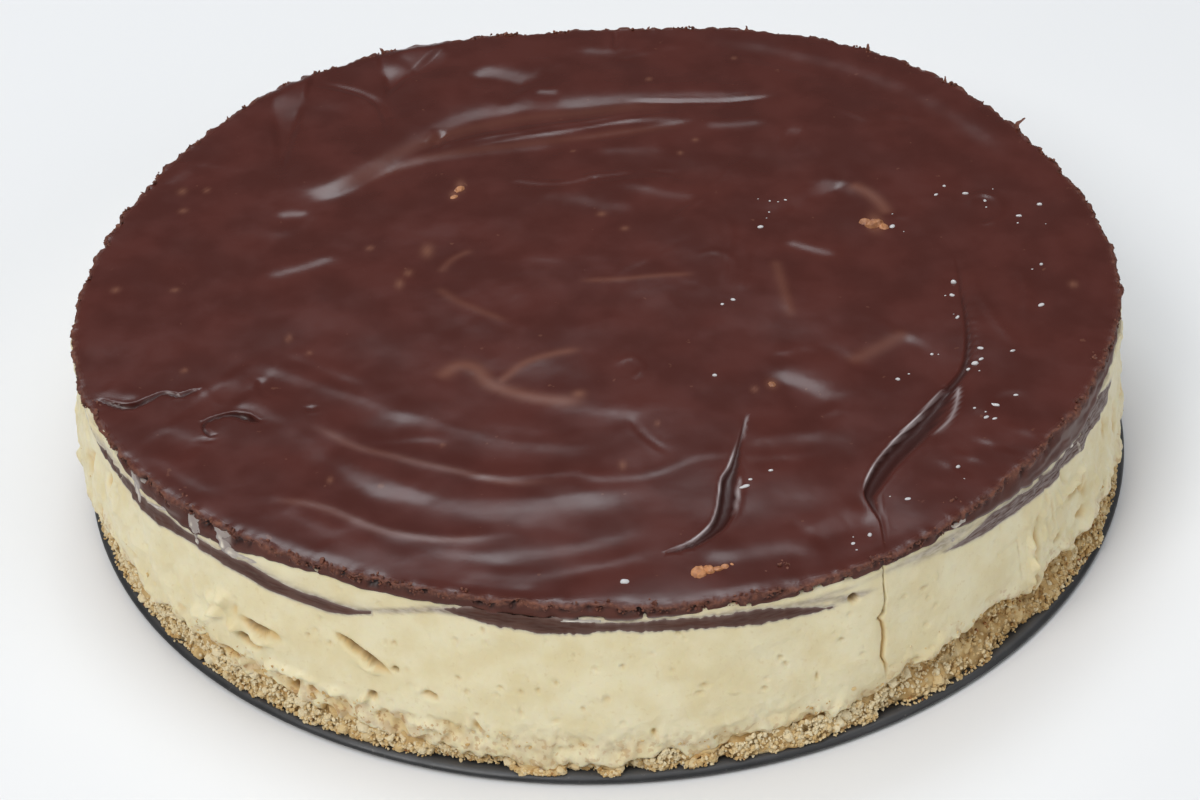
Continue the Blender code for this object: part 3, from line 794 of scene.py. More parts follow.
# painted highlights: thin pale lines on the sharp lips, on the right ridge and on two lips of the middle
# crack, broken up by noise, standing in for glints
glint = 0.55 + 0.45 * smooth_step(-0.4, 0.3, unevenness(np.column_stack((spots, 0 * angle)), 5, 44))
GLINTS = ((0.8, RIGHT_RIDGE), (0.7, ((28.9, -78), (28.4, -81.2), (27.8, -86), (26.9, -91))),
          (0.45, ((31.9, -55.7), (30.9, -61), (30.2, -66))))
glints = np.zeros(len(angle))
for strength, corners in GLINTS:
    across, along = across_path(spots, smooth_path(corners))
    glints = np.maximum(glints, strength * bell(across / 0.32) * fades(along) * glint)
paint(cover_mesh, "lip", np.where(row == 0, np.maximum(lip_highlight * glint, glints), 0))
milky = smooth_step(264, 266, turned) - smooth_step(274, 278, turned) + smooth_step(304, 312, turned)
milky_line = smooth_step(0.84, 1.0, down) * (0.15 + 0.6 * milky)
frosted = 0.42 * smooth_step(314, 326, turned) * smooth_step(0.12, 0.4, down)
frosted *= smooth_step(-0.15, 0.45, unevenness(on_the_side(angle, side_height, 5) * (1, 1, 1.6), 1.7, 39))
MILK_SMEARS = ((227.6, 41, 1.5, 1.6, 0.8), (213, 40.2, 2.2, 1.8, 0.7), (222.6, 39.2, 0.6, 1.6, 0.6),
               (219.5, 39.4, 2.5, 0.7, 0.3))
smears = side_marks(angle, side_height, MILK_SMEARS)
paint(cover_mesh, "milk", np.where(row > 0, np.maximum(np.maximum(milky_line, frosted), smears), 0))

# %% [markdown]
# Here and there the chocolate is thinner or holds a trace of biscuit and shows lighter brown. Along the
# folds at the front and the two bands at the back, lighter strokes are a painted sheen where the folds
# catch the light. These streaks and specks follow paths too, painted on the top's points.

# %% Paint the paler streaks, the painted sheen and the specks
PALE_STREAKS_AND_SHEEN = (
    # lighter brown where the chocolate is thin
    (1.9, 1.0, ((-37, -39), (-35.1, -36.6), (-31.9, -33.6), (-28, -34.9), (-24.8, -40.5), (-18.9, -44.3),
        (-13.2, -46.8), (-7.4, -48.2), (-2, -48.5))),
    (1.2, 0.9, ((-23, -41), (-21.5, -38.7), (-16.9, -33.5), (-10.4, -30.7), (-3, -29))),
    # painted sheen beside the folds at the front left, along the two bands at the back and on the fold at the
    # front right
    (1.0, 0.5, ((-64.7, -52.6), (-59.4, -57.1), (-54.2, -61.6), (-46.6, -65.2), (-38.9, -68.8),
        (-31.5, -71.7), (-25.2, -74.7), (-19, -76.6), (-6.6, -76.6))),
    (1.0, 0.5, ((-72.6, -78.9), (-65, -80.7), (-59.4, -83.1), (-53.1, -87.4), (-45.7, -91.7),
        (-34.1, -94.7), (-22, -94.2))),
    (2.4, 0.35, ((-70, 38), (-58, 46), (-50, 55), (-42, 62), (-30, 68), (-14, 72), (6, 74), (30, 76))),
    (1.6, 0.35, ((-60, 42), (-52, 49), (-42, 54.5), (-30, 57.5), (-12, 60), (8, 63), (28, 66))),
    (1.8, 0.6, ((55, -38.5), (60, -35), (66, -30.5), (70.5, -27))),
    # lighter streaks on small ridges and arcs
    (1.0, 0.6, ((-37, 3), (-34, 9), (-29, 13))),
    (0.9, 0.7, ((-5, -2), (6, -2.2), (14, -1.6), (24, -1))),
    (1.2, 0.5, ((-38, -2), (-33, -8), (-28, -12), (-20, -18))),
    (1.6, 0.9, ((62, 35), (66, 31), (69, 26), (70.5, 20))),
    (1.2, 0.6, ((42, 4), (43, -8), (44.5, -22))),
)
SPECKS = (
    (67, 17.6, 1.7), (-32.5, 41, 1.1), (-34, 37, 1.0), (-101, 44, 0.9), (-95, 44, 0.6), (-100, 35, 0.9),
    (-99, 1, 0.9), (-40, 13.2, 1.3), (-53.7, 15.1, 0.8), (1.8, 26.1, 1.0), (7.2, 19, 0.9),
    (-44.3, 3.9, 0.9), (-46.2, -0.6, 0.9), (-4.6, 55, 0.5), (22, 52, 0.6), (26, 58, 0.7), (15.5, 87, 0.7),
    (38, 97, 0.6), (-94, -31, 0.7), (-66, -26, 0.6), (-71, -20, 0.6), (-59, -73, 0.6), (-48, -76, 0.6),
    (-35, -62, 0.5), (4, -72, 0.7), (12, -58, 0.5), (34, -47, 0.8), (38, -45, 1.2), (-5, -46, 1.4),
    (-113, 2, 0.9), (110, -12, 0.9),
)
# paler brown streaks of thin chocolate, and painted sheen along the folds
pale_and_sheen = np.zeros(len(angle))
for half_width, strength, corners in PALE_STREAKS_AND_SHEEN:
    across, share_along = across_path(spots, smooth_path(corners))
    pale_and_sheen = np.maximum(pale_and_sheen, strength * bell(across / half_width) * fades(share_along, 0.15))
speck = np.zeros(len(angle))
for x, y, size in SPECKS:
    squashed = 0.7 + 0.3 * math.sin(x)
    speck = np.maximum(speck, bell(np.hypot(spots[:, 0] - x, (spots[:, 1] - y) * squashed) / size))
paint(cover_mesh, "pale_and_sheen", np.where(row == 0, pale_and_sheen, 0))
paint(cover_mesh, "speck", np.where(row == 0, speck, 0))
print(f"paler on {np.mean(pale_and_sheen > 0.3):.1%} of the points")

# %% [markdown]
# ## Finish of the chocolate
# Set chocolate is a dark, slightly red brown. Untouched it has a soft gloss, and where it broke it is
# dull and a lighter red brown. The gloss comes from a low roughness that varies a little, so that the
# light breaks up in it as it does on real chocolate, and the broken edge gets a coarse grain.

# %% Chocolate finish
chocolate_finish, tree, shader = new_finish("dark_chocolate", 0.27, IOR=1.46)
broad = patches(tree, 14, 4, 0.35, 0.68)
colour = blend_colours(tree, broad, (0.066, 0.0148, 0.0103), (0.084, 0.0192, 0.0136))
broken = blend_colours(tree, patches(tree, 1.1, 3, 0.3, 0.72), (0.080, 0.022, 0.014), (0.195, 0.068, 0.038))
side_patches = patches(tree, 5, 3, 0.3, 0.7, stretch=(1, 1, 2))
smooth_side = blend_colours(tree, side_patches, (0.066, 0.014, 0.007), (0.090, 0.022, 0.012))
# over the base: pale streaks that are partly a painted sheen, dust, specks, the smooth side, the broken edge,
# milk, painted shade in the holes and grooves, and painted highlights on the lips
colour = layered(tree, colour,
                 (times(tree, painted(tree, "pale_and_sheen"), 0.85), (0.162, 0.060, 0.039)),
                 (patches(tree, 2.6, 2, 0.735, 0.78, 0, 0.45), (0.17, 0.068, 0.042)),
                 ("speck", (0.165, 0.064, 0.040)), ("side", smooth_side), ("cut", broken),
                 ("milk", (0.30, 0.25, 0.23)), ("hole_shade", (0.018, 0.003, 0.002)), ("lip", (0.50, 0.44, 0.44)))
tree.links.new(colour, shader.inputs["Base Color"])
rough = patches(tree, 7, 3, 0.3, 0.7, 0.21, 0.26)
for name, value in (("side", 0.70), ("cut", 0.66), ("hole_shade", 0.42)):
    rough = add_node(tree, "Mix", {0: painted(tree, name), 2: rough, 3: value}).outputs[0]
tree.links.new(rough, shader.inputs["Roughness"])
add_relief(tree, shader, object_noise(tree, 2.2, 3), 0.022)
add_relief(tree, shader, times(tree, object_noise(tree, 0.55, 3), painted(tree, "cut")), 0.35)
finish_piece("chocolate_cover", cover_mesh, chocolate_finish, "chocolate", "chocolate_top")

# %% [markdown]
# ## The streaks in the side
# While the layers were poured, chocolate ran down inside the tin in three places. Each streak lies flush
# in the ice cream's side. They could be painted on, but they are real chocolate a few millimetres deep,
# so each is a slim closed piece: its face follows the ice cream's own surface, and its borders dip inside
# it, where the two surfaces meet in a natural line. Tables give its lower and upper edge.

# %% Outlines of the streaks
STREAKS = {
    "left": ((199, 36.4, 36.6), (203, 35.4, 37.2), (205, 34.9, 37.6), (210, 34.2, 37.4), (215, 33.7, 37.2),
        (217, 33.3, 37.0), (220, 33.7, 36.6), (222.5, 34.0, 36.2), (226, 33.8, 36.7), (229, 33.4, 36.6),
        (230, 33.3, 37.1), (232, 32.9, 36.7), (235, 32.6, 35.6), (238, 32.4, 35.0), (241, 32.4, 34.7),
        (242.5, 32.9, 34.7), (243.5, 33.5, 34.6), (245.2, 34.6, 35.2)),
    "front": ((253, 38.9, 39.0), (254.5, 38.4, 39.6), (256.3, 37.3, 41.2), (258.7, 36.9, 41.5),
        (260.4, 36.5, 41.2), (263, 36.2, 40.8), (265, 36.2, 39.6), (267.2, 36.5, 39.2), (270, 37.0, 39.1),
        (275, 37.2, 39.6), (277, 37.1, 39.9), (280, 36.9, 39.9), (282.5, 36.4, 39.8), (284, 36.1, 39.7),
        (285.6, 35.9, 39.2), (287.6, 35.5, 38.1), (289.5, 35.3, 37.0), (291, 35.1, 36.0),
        (292.4, 34.9, 35.3)),
    "right": ((306, 36.4, 36.5), (309, 35.0, 36.2), (310.4, 34.7, 36.8), (312, 34.4, 37.1),
        (313.8, 34.1, 37.4), (317, 33.6, 36.8), (320, 33.3, 35.8), (322.7, 32.9, 35.4),
        (325.4, 32.3, 35.1), (327.4, 31.9, 35.0), (330, 31.5, 35.0), (332.5, 31.7, 36), (335, 32.2, 37),
        (338, 32, 37), (341, 31.6, 35), (342.5, 32.5, 33.5)),
}


def streak_edges(side, angle):
    """Heights of a streak's lower and upper edge."""
    degrees, low, high = np.array(STREAKS[side]).T
    return np.interp(degrees_of(angle), degrees, low), np.interp(degrees_of(angle), degrees, high)


def streak_share(side, angle, height):
    """How far inside a streak's outline a spot lies, in mm, negative outside."""
    turned, (bottom, top) = degrees_of(angle), streak_edges(side, angle)
    wobble = 0.16 * unevenness(on_the_side(angle, height, 3), 1.6, 41)
    if side == "front":
        wobble += 0.22 * unevenness(on_the_side(angle, height) * (1, 1, 0.3), 0.8, 42)
    past_end = np.maximum(STREAKS[side][0][0] - turned, turned - STREAKS[side][-1][0]) * 2.0
    return np.minimum(np.minimum(height - bottom, top - height) + wobble, -past_end)


def above_streak(side, angle, height):
    """How far a spot lies above the middle of a streak."""
    return height - sum(streak_edges(side, angle)) / 2


for side in STREAKS:
    print(side, "streak spans", STREAKS[side][0][0], "to", STREAKS[side][-1][0], "degrees")

# %% [markdown]
# ## The ice cream
# The ice cream's wall is where the tin's ring was pulled away: smooth where it let go cleanly, with small
# air holes all over, and torn where it stuck. A crack runs down the front. The wall is a circle extruded
# up in fine rows. Each hole, scoop and lip is an elliptical mark in a table, and a few hundred small
# holes are scattered from a fixed seed.

# %% Marks in the ice cream's side
# degrees, height, half width, half height, depth in mm and lean; a negative depth is a lump or a lip
TEARS = (
    # the long gouge, the pit at its end and its lip, and small ones beside it
    (244.4, 24.6, 2.3, 2.4, 1.5, -2.0), (242.9, 26.3, 1.6, 1.0, 0.7, -1.6), (247.9, 23.2, 0.75, 0.6, 1.2),
    (245.4, 22.2, 2.6, 0.7, -0.6, -2.6), (251.6, 18.9, 1.7, 0.8, 0.9, -0.8),
    (250.6, 19.4, 1.2, 0.6, -0.45), (256.5, 13.5, 0.8, 1.5, 0.9, -0.4), (255.6, 13.6, 0.6, 1.3, -0.4),
    (260.9, 17.8, 0.6, 1.1, 0.9), (260.3, 18.4, 0.6, 0.7, -0.4), (269.3, 21.7, 0.8, 0.8, 1.0),
    (268.8, 21.9, 0.6, 0.7, -0.5), (264.1, 16.0, 1.0, 0.5, 0.7, 0.8), (278.9, 23.2, 1.5, 0.6, 0.7, 0.8),
    (278.4, 21.7, 0.9, 0.5, 0.8), (281.7, 20.6, 1.2, 0.3, -0.45), (273.7, 12.9, 0.6, 1.2, 0.8),
    (273.2, 12.6, 0.4, 1.0, -0.4), (245.7, 16.0, 1.1, 1.0, 1.3), (244.6, 14.7, 0.8, 1.5, -0.9, 0.6),
    (294.6, 35.7, 1.05, 0.95, 2.2), (293.2, 37.0, 0.9, 0.4, 0.35), (263.5, 34.4, 0.7, 0.5, 0.5),
    (290.2, 19.6, 0.4, 1.0, 0.6),
    # the scoop on the left with the hollow and the curls below it
    (232.4, 22.6, 5.0, 1.3, 1.15, -1.0), (233.4, 24.6, 4.0, 0.5, -0.25, -1.0),
    (230.9, 18.4, 2.8, 1.2, 2.1, -0.4), (229.0, 20.6, 1.6, 1.1, -1.1), (228.4, 21.5, 0.9, 0.6, -0.6),
    (232.6, 20.2, 2.4, 0.6, -0.8, -1.2), (227.2, 25.6, 1.9, 1.8, -1.5), (225.4, 23.8, 1.6, 1.5, -0.9),
    (228.9, 24.4, 0.9, 1.4, 0.5), (226.3, 21.4, 1.8, 1.1, -1.1), (224, 18.5, 2.6, 1.6, -0.8),
    (221, 16.4, 1.6, 1.0, 0.6), (227.4, 12.0, 2.2, 1.0, 1.9), (228.9, 12.6, 1.0, 0.8, 1.2),
    (236.4, 10.8, 1.1, 1.2, 1.7), (238.7, 12.4, 1.5, 0.8, 1.4), (240, 8, 1.6, 1.2, 1.3),
    (234.6, 15.0, 3.4, 1.0, -0.9), (237.6, 15.2, 3.0, 0.9, -0.8), (241.2, 14.6, 2.6, 0.9, -0.7),
    (231.2, 8.0, 2.4, 1.6, -0.9), (224.4, 8.6, 2.4, 1.8, -1.0), (219, 9.5, 2.0, 1.6, -0.8),
    (205.6, 30.2, 1.6, 1.9, 1.4), (206.6, 29.0, 0.9, 1.8, -0.6), (207.6, 22.2, 1.7, 1.6, 1.0, -1.0),
    (209.6, 20.6, 1.6, 0.9, -0.6), (211.8, 19.2, 1.5, 0.8, 0.8), (213.2, 17.0, 2.4, 1.3, -0.6),
    (199, 26, 2.5, 4.0, 0.8), (203.5, 17.5, 2.0, 2.4, 0.9),
    # the right-hand side, with its upright flap
    (303.0, 30.6, 1.0, 0.45, 0.7), (304.6, 32.0, 0.3, 1.0, -0.35), (306.5, 32.0, 0.3, 1.0, -0.35),
    (318.3, 19.5, 0.8, 7.0, -1.5, 0.12), (319.7, 19.0, 0.9, 6.5, 1.4, 0.1), (319.2, 12.6, 1.4, 2.2, 1.1),
    (323.6, 18.6, 1.6, 1.1, 1.3), (323.0, 20.4, 1.8, 0.6, -0.5), (328.2, 26.4, 4.2, 0.6, -1.4, 1.0),
    (328.6, 24.4, 3.8, 1.1, 1.3), (330.8, 22.6, 2.0, 2.6, 1.2), (330.6, 27.2, 1.0, 0.8, -0.8),
    (329.6, 17.0, 2.4, 1.2, 0.9), (326.0, 15.2, 2.6, 0.8, -0.6), (333.4, 20.4, 1.8, 3.6, -0.9),
    (338.3, 26.6, 2.2, 2.6, 1.2), (338.0, 17.0, 3.0, 2.4, -0.9), (343, 22, 2.4, 4.5, 0.9),
    (350, 20, 5, 3, 1.0), (312, 18.0, 3.0, 0.9, 0.35), (321.4, 24, 0.5, 4.0, -0.6, 0.1),
    (323.2, 25.5, 0.5, 3.5, 0.6), (325, 27, 0.6, 3.0, -0.6), (320.6, 27, 0.5, 3.0, 0.5),
    (316.8, 22, 0.5, 5.0, 0.4), (322.4, 31, 0.5, 2.5, 0.45), (326.8, 30, 0.6, 2.4, 0.5),
    (315.6, 27.0, 3.0, 0.8, 0.3), (301.3, 14.8, 2.2, 0.7, 0.6, -1.6), (302.6, 12.2, 2.4, 0.9, 1.0, -1.2),
    (306.6, 13.6, 1.2, 1.2, -0.8), (313.5, 13.4, 3.2, 0.9, -0.8), (308.8, 10.8, 1.4, 1.2, 1.6),
    (311.2, 10.2, 1.2, 1.2, 1.2), (322.5, 12.2, 4.0, 0.8, -0.9), (317.2, 10.4, 1.6, 1.0, 1.2),
    # the back
    (62, 22, 8, 5, 1.2), (40, 30, 4, 3, 0.9), (84, 16, 5, 3, -0.9), (128, 18, 9, 4, -1.0),
    (118, 27, 4, 3, 0.9), (150, 24, 6, 3, 1.0), (166, 15, 4, 3, 0.9), (182, 26, 3, 5, -0.7),
    (12, 16, 6, 3, 0.9), (98, 31, 3, 1.5, 0.7), (75, 30, 3, 1.0, 0.8), (22, 24, 1.2, 2.4, 0.9),
)
AIR_HOLES = (
    (247.7, 29.0), (257.1, 35.6), (276.6, 36.3), (254.6, 24.0), (264.4, 25.0), (255.5, 21.4),
    (267.0, 19.2), (256.5, 16.3), (260.9, 22.4), (258.8, 23.0), (262.6, 22.9), (284.8, 20.0),
    (287.1, 24.6), (286.6, 26.2), (271.0, 28.8), (293.0, 27.0), (238.1, 25.4), (240.6, 25.2),
)
air_holes = [(degrees, high, 0.6, 0.45, 0.7) for degrees, high in AIR_HOLES]
for _ in range(420):
    size = chance.uniform(0.3, 0.6)
    place = chance.uniform(0, 360), 6 + 33 * chance.uniform() ** 1.5
    air_holes.append((*place, size * chance.uniform(0.9, 1.6), size, size * 0.8))
print(len(TEARS), "tears and lips,", len(air_holes), "air holes")

# %% [markdown]
# The crack is far narrower than a column of the wall, so the columns beside it are first drawn together
# until several of them run inside it.

# %% Shape the ice cream
CRACK = np.array((
    (4, 298.0), (14, 297.8), (17, 297.6), (19, 297.2), (21, 297.4), (23, 297.65), (25, 297.75),
    (27.4, 297.6), (28.5, 297.2), (29.4, 297.9), (31, 298.0), (33, 298.2), (36, 298.1), (40, 298.2),
    (46, 298.0),
)).T
WALL_COLUMNS = 1290
WALL_ROWS = 73


def crack_at(height):
    return np.radians(np.interp(height, *CRACK))


def mixed_zone(turned, height):
    """Where ice cream and crumbs are mixed, low on the front left and, more faintly, along the front."""
    left = between(turned, 213, 219, 250, 266) * smooth_step(14.2, 12.0, height)
    front = between(turned, 248, 258, 296, 303) * smooth_step(13.5, 9.5, height)
    return np.maximum(left, 0.55 * front)


def wall_relief(angle, height):
    """How far the ice cream's face stands outside its mean radius, in mm, and how torn it is there."""
    skin = on_the_side(angle, height)
    drawn = on_the_side(angle, height, 5)
    turned = degrees_of(angle)
    low_down = smooth_step(19, 11, height)
    sides = np.maximum(smooth_step(314, 322, turned), smooth_step(232, 216, turned))
    rough = 0.16 + 0.65 * sides + 0.75 * low_down
    relief = rough * (0.30 * unevenness(skin, 5.5, 52) + 0.20 * unevenness(skin, 2.4, 53))
    relief += 0.34 * unevenness(skin, 13, 51) + 0.10 * unevenness(drawn, 3.0, 54)
    relief += (0.03 + 0.10 * low_down + 0.05 * sides) * unevenness(skin, 1.1, 55)
    left_front = between(turned, 219, 222, 256, 262)
    torn = side_marks(angle, height, TEARS) * (1 + 0.5 * unevenness(skin, 1.8, 56)) * (1 + 0.6 * left_front)
    lumpy = mixed_zone(turned, height)
    relief += lumpy * (0.75 * unevenness(skin, 3.4, 65) + 0.55 * unevenness(skin, 1.6, 66) - 0.35)
    flakes = smooth_step(0.22, 0.40, unevenness(skin * (1, 1, 0.6), 4.2, 57)) * (rough - 0.16)
    return relief - torn + 0.55 * flakes, torn


def extruded_ring(name, columns, rows):
    """A closed ring wall whose points carry their angle in x and y, and their row in z."""
    shape = bmesh.new()
    bmesh.ops.create_circle(shape, segments=columns, radius=1)
    edges = shape.edges[:]
    bmesh.ops.contextual_create(shape, geom=edges)
    for _ in range(rows):
        edges = pushed_on(shape, edges, 1)
    bmesh.ops.contextual_create(shape, geom=edges)
    bmesh.ops.recalc_face_normals(shape, faces=shape.faces[:])
    mesh = as_mesh(name, shape)
    where = points_of(mesh)
    return mesh, np.arctan2(where[:, 1], where[:, 0]), np.rint(where[:, 2])


ice_mesh, angle, row = extruded_ring("ice_cream_body", WALL_COLUMNS, WALL_ROWS)
# finer columns at the front, where the wall has most to show
angle = angle + 0.33 * np.sin(angle - math.radians(92))
up = np.clip((row - 1) / (WALL_ROWS - 2), 0, 1)
low, high = crumb_edge(angle), chocolate_edge(angle) + 0.4
height = low + (high - low) * up
from_crack = ((angle - crack_at(height) + math.pi) % (2 * math.pi) - math.pi) * WALL_RADIUS
close = np.abs(from_crack) < 4
drawn_in = np.sign(from_crack) * np.abs(from_crack) ** 1.7 / 4**0.7
angle = np.where(close, crack_at(height) + drawn_in / WALL_RADIUS, angle)
low, high = crumb_edge(angle), chocolate_edge(angle) + 0.4
height = low + (high - low) * up
relief, torn = wall_relief(angle, height)
holes = side_marks(angle, height, air_holes)
crack_width = 0.13 + 0.26 * smooth_step(31, 28, height)
crack_width = crack_width + 0.12 * unevenness(on_the_side(angle * 0, height), 2, 58)
crack = np.where(close, bell(drawn_in / crack_width), 0) * smooth_step(11, 19, height)
sagging = 0.3 + 0.7 * unevenness(on_the_side(angle, 0), 6, 59)
lip = 0.9 * np.exp(-(height - low) / 0.7) - 0.7 * smooth_step(5, 2, height - low) * sagging
open_crack = smooth_step(31, 28, height)
tuck = 0.5 * smooth_step(0.7, 0, high - height)
radius = side_radius(angle, height) + relief - holes - (1.7 - 0.6 * open_crack) * crack - lip - tuck
inner = (row == 0) | (row == WALL_ROWS)
radius = np.where(inner, rim_radius(angle) - CORE_DEPTH, radius)
height = np.where(row == 0, PLATE_TOP + 8.7, np.where(row == WALL_ROWS, CAKE_TOP - 3.3, height))
place_points(ice_mesh, at(angle, radius, height))

# %% [markdown]
# Colour follows shape here. Torn places, holes, the open crack and low spots among the crumbs get a painted
# warm golden shade, and the crack and the deepest tears a painted darker shade. Chocolate has bled a
# greyish brown into it round the streaks and under the top, and near the crumbs it is mixed with biscuit.

# %% Paint the ice cream
bleed = np.zeros(len(angle))
for side in STREAKS:
    outside = np.minimum(streak_share(side, angle, height), 0)
    reach_out = np.where(above_streak(side, angle, height) > 0, 0.75, 0.20)
    bleed = np.maximum(bleed, 0.85 * np.exp(outside / reach_out))
under_top = np.exp(-np.maximum(chocolate_edge(angle) - height, 0) / 0.22) * 0.4
turned = degrees_of(angle)
SMEARS = (
    (248.4, 36.7, 3.6, 1.7, 0.75, 4.6), (253, 38.6, 5, 0.8, 0.75), (289.5, 38.2, 5, 1.9, 0.55, -6),
    (294.5, 36.1, 4.5, 0.8, 0.65), (292, 38.8, 6, 0.8, 0.4), (306.5, 38.4, 10, 1.5, 0.65),
    (301, 39.2, 10, 0.8, 0.4), (316, 37.4, 9, 0.9, 0.45, -3), (198, 38.0, 14, 2.2, 0.55),
    (207, 38.8, 8, 1.6, 0.5), (227.5, 37.9, 4, 0.8, 0.6),
)
paint(ice_mesh, "cocoa", np.maximum(np.maximum(bleed, under_top), side_marks(angle, height, SMEARS)))
open_crack, mixed = smooth_step(31, 28, height), mixed_zone(turned, height)
# painted warm shade: golden in the tears and holes, in the open part of the crack and in low spots of the
# mixed zone
warm_shade = 0.65 * smooth_step(0.15, 1.0, torn + holes) + 0.9 * crack * open_crack
paint(ice_mesh, "warm_shade", warm_shade + 0.5 * mixed * smooth_step(0.0, -0.9, relief))
# painted shade: dark brown down in the crack and in the deepest tears
deep = smooth_step(0.4, 1.0, crack) * (1 - 0.75 * open_crack)
paint(ice_mesh, "deep", np.maximum(deep, 0.8 * smooth_step(1.0, 1.9, torn)))
soaked_up_to = 5 + 2.5 * unevenness(on_the_side(angle, 0), 9, 60)
paint(ice_mesh, "biscuit", np.maximum(mixed, 0.7 * smooth_step(soaked_up_to, 0.3, height - low)))
print(f"ice cream from {height.min():.1f} to {height.max():.1f} mm")

# %% [markdown]
# ## Finish of the ice cream
# Vanilla ice cream is pale yellow and scatters light below its surface, so it never looks hard. The
# Principled shader's subsurface does that over a few millimetres. Fine pores and a slight gloss where it
# has begun to melt make it look frozen and moist rather than like paint.

# %% Ice cream finish
ice_finish, tree, shader = new_finish("vanilla_ice_cream", 0.46, IOR=1.33, Subsurface_Weight=0.30,
                                      Subsurface_Scale=0.0012, Subsurface_Radius=(1.0, 0.75, 0.40))
colour = blend_colours(tree, patches(tree, 9, 4, 0.32, 0.68), (0.755, 0.655, 0.400), (0.820, 0.745, 0.510))
stain = times(tree, patches(tree, 3.6, 3, 0.44, 0.62), painted(tree, "biscuit"))
flecks = times(tree, patches(tree, 1.6, 3, 0.55, 0.62), painted(tree, "biscuit"))
grey = patches(tree, 2.2, 3, 0.35, 0.65, stretch=(1, 1, 3))
grey = blend_colours(tree, grey, (0.46, 0.40, 0.36), (0.20, 0.15, 0.135))
# the golden layer is a painted warm shade and the dark brown one a painted darker shade, both in recesses
colour = layered(tree, colour,
                 (patches(tree, 1.3, 3, 0.60, 0.75, 0, 0.30), (0.64, 0.50, 0.25)),
                 ("warm_shade", (0.70, 0.47, 0.18)),
                 (times(tree, stain, 0.6), (0.60, 0.45, 0.28)),
                 (times(tree, flecks, 0.75), (0.50, 0.29, 0.12)),
                 ("deep", (0.28, 0.17, 0.07)), ("cocoa", grey))
tree.links.new(colour, shader.inputs["Base Color"])
tree.links.new(patches(tree, 3.5, 3, 0.3, 0.7, 0.36, 0.56), shader.inputs["Roughness"])
add_relief(tree, shader, object_noise(tree, 2.0, 4), 0.18)
add_relief(tree, shader, object_noise(tree, 0.6, 2), 0.06)
finish_piece("ice_cream_body", ice_mesh, ice_finish, "ice_cream", "ice_cream")

# %% [markdown]
# ## Build the streaks
# A narrow grid is laid over each outline on the wall and extruded inward. Its face stands a hair outside
# the ice cream inside the outline and sinks below it outside.

# %% Streak pieces
def patch_on_wall(name, first, last, low, high, columns, rows):
    """A closed slab on the wall, with each point's angle and height, and whether it is on the inner face."""
    mesh = slab(name, columns, rows)
    where = points_of(mesh)
    angle = np.radians(first + (last - first) * (where[:, 0] + 1) / 2)
    return mesh, angle, low(angle) + (high(angle) - low(angle)) * (where[:, 1] + 1) / 2, where[:, 2] > 0.5


streak_finish, tree, shader = new_finish("melted_chocolate", 0.33, IOR=1.46, Specular_IOR_Level=0.2)
tone = patches(tree, 6, 4, 0.3, 0.7, stretch=(1, 1, 3))
tone = blend_colours(tree, tone, (0.062, 0.022, 0.013), (0.090, 0.036, 0.023))
# painted sheen: the wet right-hand streak is lightened to grey in drawn-out patches
wet_sheen = times(tree, painted(tree, "wet_sheen"), patches(tree, 3.2, 3, 0.30, 0.66, stretch=(1, 1, 8)))
tone = layered(tree, tone, (wet_sheen, (0.30, 0.25, 0.235)), ("thin", (0.24, 0.175, 0.155)))
tree.links.new(tone, shader.inputs["Base Color"])
tree.links.new(patches(tree, 4, 3, 0.3, 0.7, 0.46, 0.60, stretch=(1, 1, 4)), shader.inputs["Roughness"])
add_relief(tree, shader, object_noise(tree, 2.5, 3, (1, 1, 4)), 0.06)

for side, outline in STREAKS.items():
    first, end = outline[0][0] - 1, outline[-1][0] + 1
    below = lambda angle: streak_edges(side, angle)[0] - 1.2
    above = lambda angle: streak_edges(side, angle)[1] + 1.2
    columns = round((end - first) * 5)
    name = "chocolate_streak_" + side
    mesh, angle, height, inside = patch_on_wall(name, first, end, below, above, columns, 26)
    height = np.minimum(height, chocolate_edge(angle) + 0.5)
    share = streak_share(side, angle, height)
    relief, _ = wall_relief(angle, height)
    face = side_radius(angle, height) + relief + np.clip(share * 0.9, -0.9, 0.10) - 0.02
    radius = np.where(inside, side_radius(angle, height) - 4.5, face)
    place_points(mesh, at(angle, radius, height))
    paint(mesh, "thin", np.exp(-np.maximum(share, 0) / 0.30) * 0.75)
    # painted sheen strength: strong on the wet right-hand streak, faint on the others
    paint(mesh, "wet_sheen", np.full(len(angle), 0.85 if side == "right" else 0.10))
    finish_piece(name, mesh, streak_finish, "chocolate", "chocolate_lens_" + side)

# %% [markdown]
# ## Milk on the chocolate
# Melted ice cream has run over the chocolate's side in a few places and dried there in thin white drips.
# Each is a small closed patch that follows the side.

# %% Milky drips
milk_finish, tree, shader = new_finish("melted_ice_cream", 0.30, IOR=1.33, Subsurface_Weight=0.25,
                                       Subsurface_Scale=0.002, Subsurface_Radius=(1.0, 0.8, 0.5))
milk_tone = blend_colours(tree, patches(tree, 1.6, 3, 0.35, 0.65), (0.62, 0.55, 0.47), (0.80, 0.74, 0.62))
milk_tone = blend_colours(tree, painted(tree, "thin"), milk_tone, (0.30, 0.25, 0.235))
tree.links.new(milk_tone, shader.inputs["Base Color"])
add_relief(tree, shader, object_noise(tree, 1.2, 3), 0.08)

